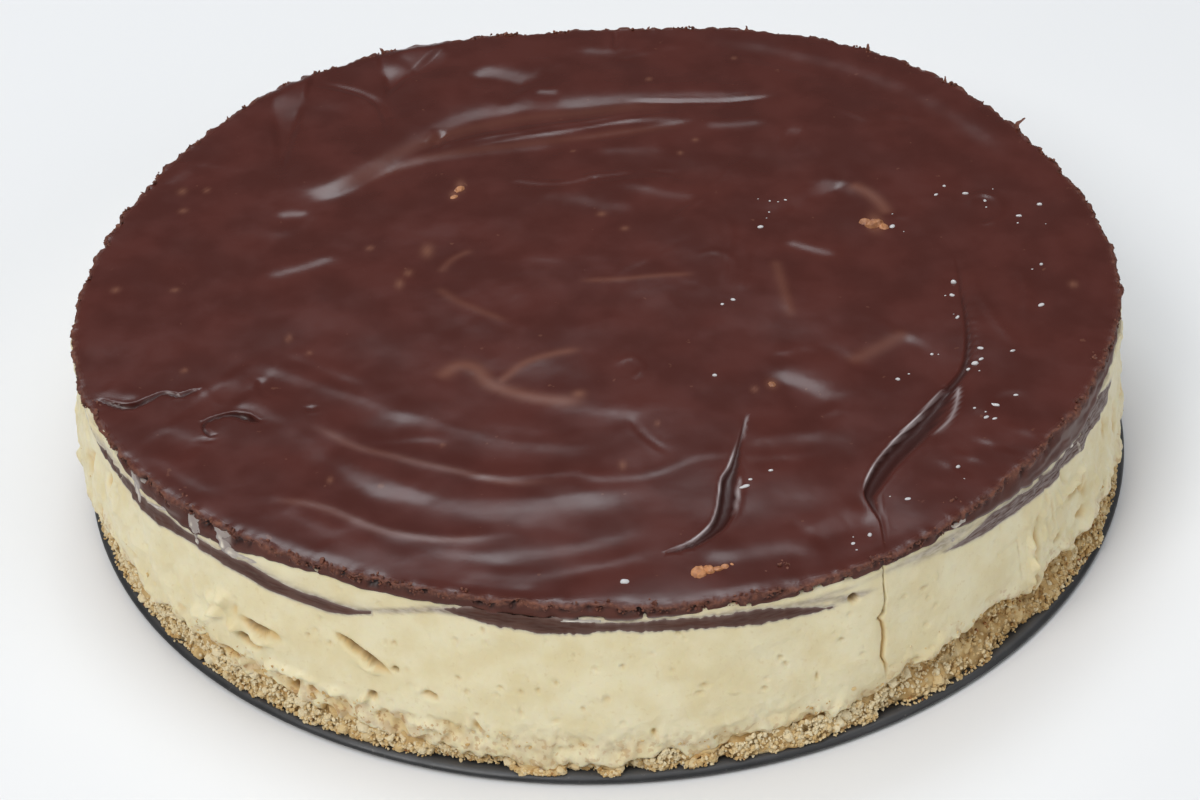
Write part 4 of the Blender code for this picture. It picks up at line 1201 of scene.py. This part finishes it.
# degrees, middle height, half width, half height, thickness, lean in mm to the right per mm up
DRIPS = (
    (213, 37.6, 1.1, 2.6, 0.25, -0.4), (222.8, 37.5, 0.6, 2.7, 0.22, -0.2),
    (223.1, 35.6, 0.8, 0.8, 0.45, 0), (227.0, 39.2, 1.0, 2.0, 0.28, -0.3),
    (228.0, 37.6, 1.7, 0.8, 0.28, 0), (230.2, 37.9, 2.0, 0.35, 0.18, 1), (217, 37.8, 1.4, 0.6, 0.18, 4),
    (308, 41.2, 1.6, 0.4, 0.25, 0), (307.3, 38.1, 0.5, 0.45, 0.3, 0), (266.6, 39.4, 3.4, 0.22, 0.15, 0),
    (329.3, 34.9, 0.5, 0.3, 0.3, 0),
)
for number, (degrees, middle, half_width, half_height, thick, lean) in enumerate(DRIPS):
    reach = math.degrees(1.5 * (half_width + abs(lean) * half_height) / WALL_RADIUS)
    flat_low = lambda angle: np.full(len(angle), middle - 1.5 * half_height)
    flat_high = lambda angle: np.full(len(angle), middle + 1.5 * half_height)
    name = f"milk_drip_{number:02d}"
    ends = degrees - reach, degrees + reach
    mesh, angle, height, inside = patch_on_wall(name, *ends, flat_low, flat_high, 26, 22)
    across = np.radians(np.degrees(angle) - degrees) * WALL_RADIUS - lean * (height - middle)
    wobble = 0.35 * unevenness(on_the_side(angle, height), 1.1, 61)
    share = 1 - np.hypot(across / half_width, (height - middle) / half_height) + wobble
    relief, _ = wall_relief(angle, height)
    relief = np.where(height > chocolate_edge(angle), 0.10, relief + 0.06)
    face = side_radius(angle, height) + relief + np.clip(share, -1.2, 0.6) * thick
    radius = np.where(inside, side_radius(angle, height) - 2.0, face)
    place_points(mesh, at(angle, radius, height))
    paint(mesh, "thin", smooth_step(0.9, 0.1, share) * (0.9 if half_height > 1 else 0.6))
    finish_piece(name, mesh, milk_finish, "ice_cream")

# %% [markdown]
# ## The crumb layer
# The base is crushed biscuit, pressed into the tin with butter. A rough core gives the layer its body and
# its dark gaps. Over it lie thousands of crumbs, each a small faceted lump of its own shape. One crumb is
# modelled, an Array modifier copies it, and numpy turns, squashes and places every copy, which keeps all
# of them in a single light mesh.

# %% Crumb core
crumb_finish, tree, shader = new_finish("biscuit_crumbs", 0.85)
toast = add_node(tree, "ValToRGB", {"Fac": painted(tree, "toast")})
ramp = toast.color_ramp
ramp.elements[0].position, ramp.elements[0].color = 0.0, (0.80, 0.69, 0.46, 1)
ramp.elements[1].position, ramp.elements[1].color = 1.0, (0.34, 0.14, 0.045, 1)
for spot, tint in ((0.40, (0.67, 0.49, 0.235, 1)), (0.78, (0.52, 0.32, 0.115, 1))):
    ramp.elements.new(spot).color = tint
buttery = patches(tree, 0.8, 3, 0.55, 0.75, 0, 0.45)
colour = layered(tree, toast.outputs["Color"], (buttery, (0.70, 0.56, 0.34)))
tree.links.new(colour, shader.inputs["Base Color"])
add_relief(tree, shader, object_noise(tree, 0.5, 3), 0.22)


# hollows where the crumbs broke away under the ice cream: degrees, height, half width, half height, depth
HOLLOWS = (
    (308.6, 11.2, 2.6, 1.5, 2.2), (311.4, 10.6, 2.2, 1.8, 2.4), (313.8, 9.2, 2.0, 1.5, 1.8),
    (304.8, 9.9, 1.5, 0.8, 1.4), (318.6, 8.9, 2.2, 1.3, 1.8), (227.2, 11.0, 3.0, 1.5, 2.0),
    (236.3, 10.6, 1.3, 1.3, 1.6), (238.4, 12.2, 1.2, 1.0, 1.3), (231.5, 8.0, 1.5, 1.0, 1.2),
    (292, 10.8, 1.4, 1.4, 1.6), (287.4, 7.6, 1.2, 1.0, 1.2), (300.2, 10.8, 2.0, 1.0, 1.4),
    (210, 10.5, 2.5, 1.2, 1.6), (324, 9.5, 2.5, 1.0, 1.4), (40, 8, 4, 1.2, 1.5), (112, 9, 4, 1.2, 1.5),
)


def crumb_radius(angle, height):
    foot = (1.1 - FOOT_RECESS(angle)) * smooth_step(8.5, 3.5, height)
    turned = degrees_of(angle)
    under_ledge = 1.2 * between(turned, 297, 302, 331, 338) * smooth_step(5.5, 9, height)
    return side_radius(angle, height) + foot + 0.2 - under_ledge - side_marks(angle, height, HOLLOWS)


CORE_COLUMNS, CORE_ROWS = 720, 16
core_mesh, angle, row = extruded_ring("crumb_layer", CORE_COLUMNS, CORE_ROWS)
up = np.clip(row / (CORE_ROWS - 1), 0, 1)
bottom, top = PLATE_TOP + 0.05, crumb_edge(angle) + 0.8
height = bottom + (top - bottom) * up
skin = on_the_side(angle, height)
radius = crumb_radius(angle, height) - 1.3 + 0.5 * unevenness(skin, 3.2, 71) + 0.4 * unevenness(skin, 1.3, 72)
radius = np.where(row == CORE_ROWS, rim_radius(angle) - CORE_DEPTH, radius)
height = np.where(row == CORE_ROWS, PLATE_TOP + 8.3, height)
place_points(core_mesh, at(angle, radius, height))
# painted shade: the core is toasted darker in the hollows
hollow_shade = smooth_step(0.4, 1.4, side_marks(angle, height, HOLLOWS))
paint(core_mesh, "toast", 0.55 + 0.25 * unevenness(skin, 1.5, 73) + 0.3 * hollow_shade)
finish_piece("crumb_layer", core_mesh, crumb_finish, "crumbs", "crumb_base")

# %% Many crumbs from one
def copies_of_crumb(name, count, fineness=1):
    """`count` copies of a small lump, as one mesh, and each point's place on its own lump."""
    shape = bmesh.new()
    bmesh.ops.create_icosphere(shape, subdivisions=fineness, radius=1)
    one = add_object(name, as_mesh(name, shape))
    row_of_copies = one.modifiers.new("copies", "ARRAY")
    row_of_copies.count, row_of_copies.use_relative_offset = count, False
    bpy.context.view_layer.update()
    made = bpy.data.meshes.new_from_object(one.evaluated_get(bpy.context.evaluated_depsgraph_get()))
    made.name = name
    bpy.data.objects.remove(one)
    return made, points_of(made).reshape(count, -1, 3)


def random_turns(count):
    """Random rotation matrices, from random unit quaternions."""
    turns = chance.normal(size=(count, 4))
    w, x, y, z = (turns / np.linalg.norm(turns, axis=1, keepdims=True)).T
    rows = (1 - 2 * (y * y + z * z), 2 * (x * y - z * w), 2 * (x * z + y * w),
            2 * (x * y + z * w), 1 - 2 * (x * x + z * z), 2 * (y * z - x * w),
            2 * (x * z - y * w), 2 * (y * z + x * w), 1 - 2 * (x * x + y * y))
    return np.stack(rows, axis=-1).reshape(count, 3, 3)


def scatter(name, centres, sizes, finish, slot, toast, fineness=1, lumpy=0.22):
    """Place one copy at each centre, in mm, with a random shape and turn."""
    count = len(centres)
    mesh, lumps = copies_of_crumb(name, count, fineness)
    lumps = lumps * (1 + lumpy * chance.normal(size=(*lumps.shape[:2], 1)).clip(-1.8, 1.8))
    lumps = lumps * chance.uniform(0.6, 1.15, (count, 1, 3)) * sizes[:, None, None] / 2
    lumps = np.einsum("nij,nkj->nki", random_turns(count), lumps) + centres[:, None, :]
    place_points(mesh, lumps.reshape(-1, 3))
    paint(mesh, "toast", np.repeat(toast, lumps.shape[1]))
    finish_piece(name, mesh, finish, slot)
    mesh.shade_flat()


def all_round(count):
    return chance.uniform(0, 2 * math.pi, count)


def more_between(first, end, share, count):
    """Angles all round, with an extra share of them between two angles in degrees."""
    chosen = chance.uniform(size=count) < share
    return np.where(chosen, np.radians(chance.uniform(first, end, count)), all_round(count))


def toast_values(count):
    return np.clip(chance.beta(1.6, 2.4, count) + 0.25 * (chance.uniform(size=count) < 0.08), 0, 1)


def creamy(angle, height):
    """How much paler crumbs are where ice cream soaked into them, at the left and the front."""
    turned = degrees_of(angle)
    return 0.4 * between(turned, 196, 212, 298, 310) * smooth_step(3.5, 6.5, height)


count = 10500
angle = all_round(count)
size = 0.5 + 1.5 * chance.beta(1.2, 3.2, count)
height = PLATE_TOP + size * 0.3 + (crumb_edge(angle) - 0.2 - PLATE_TOP) * chance.uniform(0, 1, count) ** 0.9
radius = crumb_radius(angle, height) - 0.42 * size - 0.35 * np.abs(chance.normal(size=count))
radius = radius + 0.3 * unevenness(on_the_side(angle, height), 5, 74)
# painted shade: grains in the hollows are toasted darker
hollow_shade = smooth_step(0.3, 1.2, side_marks(angle, height, HOLLOWS))
toast_here = toast_values(count) - creamy(angle, height) + 0.4 * hollow_shade
scatter("crumb_grains", at(angle, radius, height), size, crumb_finish, "crumbs", toast_here)

# %% [markdown]
# Some crumbs are caught in the ice cream above the layer, most of them at the front where it sagged over
# the base, a few larger clumps stand out of the layer, and loose ones lie on the steel all round.

# %% Crumbs in the ice cream, clumps and loose crumbs
count = 760
angle = more_between(220, 308, 0.66, count)
size = chance.uniform(0.4, 1.3, count)
height = crumb_edge(angle) + np.where(np.degrees(angle) < 262, 7.5, 5.0) * chance.uniform(0, 1, count) ** 1.5
relief, _ = wall_relief(angle, height)
radius = side_radius(angle, height) + relief - size * chance.uniform(0.15, 0.42, count)
radius = radius - 1.2 * np.exp(crumb_edge(angle) - height)
toast_here = toast_values(count) * 0.8 + 0.1
scatter("crumbs_in_ice_cream", at(angle, radius, height), size, crumb_finish, "crumbs", toast_here)

count = 240
angle = all_round(count)
size = chance.uniform(1.8, 3.2, count)
height = PLATE_TOP + size * 0.35 + (crumb_edge(angle) - 1.5 - PLATE_TOP) * chance.uniform(0, 1, count)
radius = crumb_radius(angle, height) - 0.38 * size - 0.4 * np.abs(chance.normal(size=count))
toast_here = toast_values(count) * 0.7 - creamy(angle, height)
places = at(angle, radius, height)
scatter("crumb_clumps", places, size, crumb_finish, "crumbs", toast_here, fineness=2, lumpy=0.10)

count = 380
angle = more_between(300, 345, 0.4, count)
size = 0.4 + 1.2 * chance.beta(1.2, 4, count)
height = PLATE_TOP + size * 0.28
base = crumb_radius(angle, height) - 0.8
radius = base + (123.2 - base).clip(0.4) * chance.uniform(0, 1, count) ** 1.6
scatter("loose_crumbs", at(angle, radius, height), size, crumb_finish, "crumbs", toast_values(count))

# %% [markdown]
# ## Melted ice cream on the steel
# At the front some ice cream has melted down over the crumbs and lies in small puddles on the steel. Each
# is a drop pressed flat.

# %% Puddles
# degrees, half width, half length outward, height, distance from the middle
PUDDLES = (
    (262.9, 5.2, 2.3, 0.7, 121.6), (261.2, 1.7, 1.5, 1.2, 121.2), (264.4, 1.6, 1.4, 1.1, 121.0),
    (269.4, 2.4, 2.4, 0.7, 121.5), (268.9, 1.3, 1.2, 1.2, 120.9), (276.9, 1.8, 2.2, 0.7, 121.5),
    (277.2, 1.0, 1.1, 1.0, 120.8), (284.6, 1.2, 0.9, 0.6, 121.6),
)
EDGE_OF_STEEL = (119.4, 121.2, 122.2, 122.9, 123.4, 123.8), (2.38, 2.40, 2.36, 2.22, 1.98, 1.62)
for number, (degrees, wide, deep, tall, reach) in enumerate(PUDDLES):
    shape = bmesh.new()
    bmesh.ops.create_uvsphere(shape, u_segments=36, v_segments=18, radius=1)
    mesh = as_mesh(f"melted_drop_{number}", shape)
    where = points_of(mesh)
    where = where * (1 + 0.16 * unevenness(where * 5 + number * 40, 4, 81))[:, None]
    where[:, 2] = np.where(where[:, 2] < 0, where[:, 2] * 0.15, where[:, 2])
    angle = math.radians(degrees) + where[:, 0] * wide / WALL_RADIUS
    places = at(angle, reach + where[:, 1] * deep, where[:, 2] * tall + 0.06)
    places[:, 2] += np.interp(np.hypot(*(places[:, :2] + CAKE_CENTRE[:2]).T), *EDGE_OF_STEEL)
    place_points(mesh, places)
    paint(mesh, "thin", smooth_step(0.5, 0.1, where[:, 2]) * 0.55)
    finish_piece(f"melted_drop_{number}", mesh, milk_finish, "ice_cream")

# %% [markdown]
# ## The tin's base
# The steel disc is turned from a profile, as it was pressed: flat, with a rounded shoulder, a short skirt
# and a hollow underneath. Its dark non-stick coat is finely pebbled, and a painted highlight lightens it
# along the shoulder.

# %% Springform base
PROFILE = (
    (0, 2.36), (60, 2.36), (112, 2.36), (119.4, 2.38), (121.2, 2.40), (122.2, 2.36), (122.9, 2.22),
    (123.4, 1.98), (123.8, 1.62), (123.97, 1.3), (123.95, 1.0), (123.7, 0.75), (123.2, 0.65), (120.5, 0.6),
    (118.5, 0.25), (117.5, 0.0), (110.5, 0.0), (109.4, 0.5), (108, 1.2), (50, 1.2), (0, 1.2),
)
shape = bmesh.new()
ring = [shape.verts.new((across * MM, 0, high * MM)) for across, high in PROFILE]
edges = [shape.edges.new(pair) for pair in zip(ring, ring[1:])]
bmesh.ops.spin(shape, geom=ring + edges, cent=(0, 0, 0), axis=(0, 0, 1), dvec=(0, 0, 0),
               angle=2 * math.pi, steps=192, use_merge=True)
bmesh.ops.remove_doubles(shape, verts=shape.verts[:], dist=0.00001)
bmesh.ops.recalc_face_normals(shape, faces=shape.faces[:])
plate_mesh = as_mesh("springform_base", shape)
where = points_of(plate_mesh) / MM
reach = np.hypot(where[:, 0], where[:, 1])
# painted highlight along the rounded shoulder
paint(plate_mesh, "shoulder_highlight", bell((reach - 122.6) / 0.7) * (where[:, 2] > 1.5))

steel_finish, tree, shader = new_finish("coated_steel", 0.42, Metallic=0.35, IOR=1.5)
colour = blend_colours(tree, patches(tree, 6, 4, 0.3, 0.7), (0.026, 0.027, 0.029), (0.040, 0.041, 0.044))
# painted highlight: lighter grey along the shoulder
colour = blend_colours(tree, times(tree, painted(tree, "shoulder_highlight"), 0.65), colour, (0.13, 0.13, 0.135))
colour = blend_colours(tree, patches(tree, 0.9, 2, 0.68, 0.74, 0, 0.35), colour, (0.16, 0.15, 0.14))
tree.links.new(colour, shader.inputs["Base Color"])
tree.links.new(patches(tree, 9, 4, 0.3, 0.7, 0.34, 0.50), shader.inputs["Roughness"])
add_relief(tree, shader, object_noise(tree, 0.45, 2), 0.03)
finish_piece("springform_base", plate_mesh, steel_finish, "dark_metal", "tin_base")

# %% [markdown]
# ## Chocolate crumbs and curls on the rim
# Pulling the ring away left small broken bits of chocolate along the rim, most of them clinging to the
# edge, and a few thin curls that stand up. The bits are scattered like the biscuit crumbs and the curls
# are placed one by one.

# %% Broken chocolate
crumbled_finish, tree, shader = new_finish("broken_chocolate", 0.6, IOR=1.46)
broken = blend_colours(tree, painted(tree, "toast"), (0.080, 0.023, 0.015), (0.200, 0.070, 0.039))
broken = blend_colours(tree, patches(tree, 0.7, 3, 0.45, 0.7, 0, 0.5), broken, (0.12, 0.034, 0.019))
tree.links.new(broken, shader.inputs["Base Color"])
add_relief(tree, shader, object_noise(tree, 0.4, 2), 0.12)

count = 1700
angle = all_round(count)
size = 0.4 + 1.0 * chance.beta(1.2, 4.4, count)
below_rim = chance.uniform(0, 1, count) ** 1.8 * 1.25
height = CAKE_TOP - 0.55 - below_rim + 0.3 * unevenness(on_the_side(angle, 0), 2.2, 34)
radius = side_radius(angle, height) + rim_tear(angle) * smooth_step(2.4, 0, below_rim)
places = at(angle, radius - size * chance.uniform(0.15, 0.4, count), height)
scatter("chocolate_bits", places, size, crumbled_finish, "chocolate", chance.uniform(0, 1, count))

# a second lot sits in clusters right on the edge, where it shows against the light from behind
count = 620
angle = all_round(3 * count)
angle = angle[np.argsort(-unevenness(on_the_side(angle, 0), 3.5, 46))[:count]]
size = 0.5 + 1.1 * chance.beta(1.3, 3.6, count)
height = CAKE_TOP - 0.75 + chance.uniform(-0.5, 1.1, count)
radius = rim_radius(angle) + rim_tear(angle) - 0.35 - size * chance.uniform(0.1, 0.5, count)
places = at(angle, radius, height)
scatter("rim_bits", places, size, crumbled_finish, "chocolate", chance.uniform(0, 1, count))

LUMPS = (
    (-71.2, 113, 2.2), (-50.5, 115, 1.6), (-19.1, 118.2, 2.4), (-20.4, 117.6, 1.8), (116.2, 119.5, 2.2),
    (118, 119.2, 1.6), (115.4, 118.4, 1.5), (81.6, 118, 1.3), (69, 119, 1.4), (53, 121, 1.3),
    (41, 121.8, 1.6), (28, 121.6, 1.4), (-73.5, 114, 1.4), (-86, 116.5, 1.5), (-105, 115, 1.5),
    (-128, 117, 1.6), (-140, 118, 1.5), (-160, 120, 1.4),
)
lump_count = len(LUMPS) * 9
lump = np.repeat(np.array(LUMPS), 9, axis=0)
angle = np.radians(lump[:, 0]) + chance.normal(size=lump_count) * lump[:, 2] / 260
radius = lump[:, 1] + chance.normal(size=lump_count) * lump[:, 2] / 3
height = CAKE_TOP - 0.55 + np.abs(chance.normal(size=lump_count)) * lump[:, 2] / 5
places = at(angle, np.minimum(radius, rim_radius(angle) - 0.3), height)
size = lump[:, 2] * chance.uniform(0.3, 0.62, lump_count)
scatter("chocolate_lumps", places, size, crumbled_finish, "chocolate", chance.uniform(0.2, 1, lump_count))

# %% Curls
# degrees along the rim, length, lean outward, curl
CURLS = (
    (116.5, 2.6, 0.9, 0.6), (82, 1.7, 0.5, -0.5), (69, 2.1, 0.9, 0.5), (53.3, 2.4, 1.1, 0.4),
    (41.6, 1.9, 0.9, 0.5), (28.2, 4.2, 1.7, 0.9), (35, 1.4, 0.8, 0.2), (101, 1.3, 0.8, 0.3),
    (140, 1.3, 0.8, -0.3), (158, 1.2, 0.9, 0.3), (20, 1.6, 1.0, 0.3),
)
for number, (degrees, length, lean, curl) in enumerate(CURLS):
    mesh = slab(f"chocolate_curl_{number:02d}", 4, 10)
    where = points_of(mesh)
    up = (where[:, 1] + 1) / 2
    width = (0.45 + 0.16 * length) * (1.15 - up) + 0.12 * unevenness(where * 3 + number * 30, 1.0, 91)
    turned = np.radians(degrees) + (where[:, 0] * width + curl * up * up * 1.4) / WALL_RADIUS
    out = rim_radius(turned) - 0.5 + lean * up * 1.2 - where[:, 2] * 0.32 * (1.1 - up)
    rise = np.minimum(up * length, 2.2 + up * 0.1)
    places = at(turned, out + np.maximum(up * length - rise, 0), CAKE_TOP - 1.4 + rise)
    place_points(mesh, places)
    paint(mesh, "toast", 0.3 + 0.4 * up)
    finish_piece(f"chocolate_curl_{number:02d}", mesh, crumbled_finish, "chocolate")

# %% [markdown]
# ## Small things on the top
# A crumb of biscuit and a shaving of toffee lie in the chocolate, and small beads of thawed frost sit on
# it, most of them beside the long crack. The beads are low, glossy, partly clear domes, and their
# near-white colour is a painted glint that makes them show as bright points.

# %% Biscuit bits and beads of water
TOP_BITS = (
    (66.7, 16.9, 3.6, 0.5), (69.2, 16.0, 2.4, 0.3), (64.8, 17.8, 2.4, 0.6), (-32.4, 39.4, 2.7, 0.3),
    (-34, 36, 2.1, 0.3), (38, -45, 1.8, 0.8), (18.6, -108.6, 2.9, 0.0), (20.4, -108.0, 2.6, 0.0),
    (22.2, -107.4, 2.0, 0.0), (24, -107, 1.4, 0.0), (25.6, -106.4, 1.0, 0.1),
)
toffee_finish, tree, shader = new_finish("toffee_bits", 0.42, IOR=1.46)
colour = blend_colours(tree, painted(tree, "toast"), (0.55, 0.245, 0.105), (0.27, 0.115, 0.06))
colour = blend_colours(tree, patches(tree, 1.2, 3, 0.45, 0.7, 0, 0.6), colour, (0.22, 0.08, 0.045))
tree.links.new(colour, shader.inputs["Base Color"])
add_relief(tree, shader, object_noise(tree, 0.9, 2), 0.15)
bits = np.array(TOP_BITS)
height = CAKE_TOP + knife_relief(bits[:, :2]) - 0.33 * bits[:, 2]
places, size = np.column_stack((bits[:, :2], height)), bits[:, 2] * 1.35
scatter("biscuit_bits", places, size, toffee_finish, "crumbs", bits[:, 3], fineness=3, lumpy=0.05)

water_finish, tree, shader = new_finish("frost_beads_painted_glint", 0.05, IOR=1.33, Transmission_Weight=0.35)
# painted glint: the beads are near white, so they show as bright points
glint_white = blend_colours(tree, object_noise(tree, 1.0, 2), (0.80, 0.78, 0.78), (0.96, 0.95, 0.95))
tree.links.new(glint_white, shader.inputs["Base Color"])
BEADS = (
    (90, 28.7, 1.5), (94.3, 25.2, 1.0), (107, 22.1, 1.5), (101.5, 17.8, 1.3), (103.8, -3.3, 1.4),
    (101.5, -19.7, 1.5), (82.7, -9, 2.0), (81.7, -14.3, 1.2), (81.9, -23.2, 1.2), (70.9, 15.8, 1.4),
    (46.4, 28.5, 0.8), (42.6, 28.2, 0.7), (42.1, 23.7, 0.7), (39.6, 17.3, 1.2), (31.3, -12.2, 1.2),
    (28.7, -13.7, 1.1), (82.9, 28.6, 0.9), (85.2, 32.1, 0.9), (3.3, -110.5, 2.0), (25.5, -41.2, 1.3),
    (54.7, -98.2, 1.7), (50.9, -100.9, 0.9), (75.5, -77.5, 1.2), (63.7, -87.6, 1.2), (66, -45.1, 1.4),
    (74.5, -36.3, 0.9), (92.7, -37, 1.3), (83.6, -40.9, 1.8), (82, -42.5, 1.2), (85.2, -39.4, 1.0),
    (85.6, -35.4, 1.3), (86.1, -56.3, 1.6), (91.2, -52.9, 1.0), (83.6, -60.9, 1.2), (85.4, -61.5, 0.9),
    (81.5, -57.6, 0.9), (29.6, -81.4, 1.8), (31, -79, 1.0), (35.6, -76.2, 1.0),
)
beads = np.array(BEADS)
small = beads[chance.integers(0, len(BEADS), 20)] + chance.normal(size=(20, 3)) * (2.5, 2.5, 0)
small[:, 2] = chance.uniform(0.3, 0.6, 20)
beads = np.vstack((beads, small))
beads, size = beads[:, :2], beads[:, 2]
mesh, domes = copies_of_crumb("water_beads", len(beads), 3)
domes = domes * (0.95, 0.65, 0.45) * size[:, None, None] / 2 * chance.uniform(0.75, 1.3, (len(beads), 1, 3))
uneven = unevenness((domes + beads[:, None, :1]).reshape(-1, 3), 0.8, 47)
domes *= 1 + 0.18 * uneven.reshape(len(beads), -1, 1)
turn = chance.uniform(-0.4, 0.9, len(beads))[:, None]
x, y, z = np.moveaxis(domes, -1, 0)
domes = np.stack((x * np.cos(turn) - y * np.sin(turn), x * np.sin(turn) + y * np.cos(turn), z), axis=-1)
height = CAKE_TOP + knife_relief(beads)
place_points(mesh, (domes + np.column_stack((beads, height))[:, None, :]).reshape(-1, 3))
finish_piece("water_beads", mesh, water_finish, "ice_cream")

# %% [markdown]
# ## Floor, light and camera
# The cake stands on a plain pale floor. A large soft light at the front left gives the shape its shading,
# and a second one, high behind the cake, is what the glossy folds of the chocolate mirror towards the
# camera: a flat spot mirrors the dim room below that light, and a spot tipped a few degrees forward
# lights up.

# %% Floor
floor_shape = bmesh.new()
bmesh.ops.create_grid(floor_shape, x_segments=8, y_segments=8, size=3.0)
floor_mesh = as_mesh("floor", floor_shape)
floor_finish, tree, shader = new_finish("pale_floor", 0.75)
pale_grey = blend_colours(tree, object_noise(tree, 300, 2), (0.80, 0.80, 0.805), (0.83, 0.83, 0.835))
tree.links.new(pale_grey, shader.inputs["Base Color"])
floor_mesh.materials.append(floor_finish)
floor = add_object("floor", floor_mesh)


# %% Lights and room
def softbox(name, place, target, width, depth, power, colour=(1, 1, 1)):
    lamp = bpy.data.lights.new(name, "AREA")
    lamp.shape, lamp.size, lamp.size_y, lamp.energy, lamp.color = "RECTANGLE", width, depth, power, colour
    thing = add_object(name, lamp)
    thing.location = place
    thing.rotation_euler = (Vector(target) - Vector(place)).to_track_quat("-Z", "Y").to_euler()


softbox("key_light", (-1.08, -1.17, 1.75), (0, 0, 0), 1.1, 1.1, 27, (1.0, 0.985, 0.96))
softbox("fill_light", (1.7, -1.0, 1.0), (0, 0, 0), 1.3, 1.0, 8, (1.0, 0.99, 0.97))
softbox("back_light", (-0.25, 0.85, 1.55), (0, 0, 0.04), 0.95, 0.62, 8, (0.88, 0.95, 1.0))

room = bpy.data.worlds.new("room")
bpy.context.scene.world = room
room.use_nodes = True
tree = room.node_tree
direction = add_node(tree, "TexCoord").outputs["Generated"]
way_up = add_node(tree, "SeparateXYZ", {"Vector": direction}).outputs["Z"]
brightness = spread(tree, way_up, 0.70, 0.92, 0.10, 1.30)
tree.links.new(brightness, tree.nodes["Background"].inputs["Strength"])
tree.nodes["Background"].inputs["Color"].default_value = (0.93, 0.96, 1.0, 1)
bpy.context.scene.view_settings.view_transform = "Standard"

# %% Camera
DISTANCE, ELEVATION, PAN, TILT, ROLL = 0.727736, 0.656286, 0.0017189, 0.0086840, -0.0419666
camera = add_object("camera", bpy.data.cameras.new("camera"))
bpy.context.scene.camera = camera
camera.data.lens, camera.data.sensor_width = 90, 36
camera.data.clip_start, camera.data.clip_end = 0.01, 20
place = Vector((0, -DISTANCE * math.cos(ELEVATION), DISTANCE * math.sin(ELEVATION)))
ahead, right = -place.normalized(), Vector((1, 0, 0))
above = right.cross(ahead)


def rotated(vector, axis, amount):
    along = axis * axis.dot(vector) * (1 - math.cos(amount))
    return vector * math.cos(amount) + axis.cross(vector) * math.sin(amount) + along


ahead, right = rotated(ahead, above, PAN), rotated(right, above, PAN)
ahead, above = rotated(ahead, right, TILT), rotated(above, right, TILT)
rolled = right * math.cos(ROLL) + above * math.sin(ROLL)
above = above * math.cos(ROLL) - right * math.sin(ROLL)
camera.matrix_world = Matrix(((rolled.x, above.x, -ahead.x, place.x), (rolled.y, above.y, -ahead.y, place.y),
                              (rolled.z, above.z, -ahead.z, place.z), (0, 0, 0, 1)))
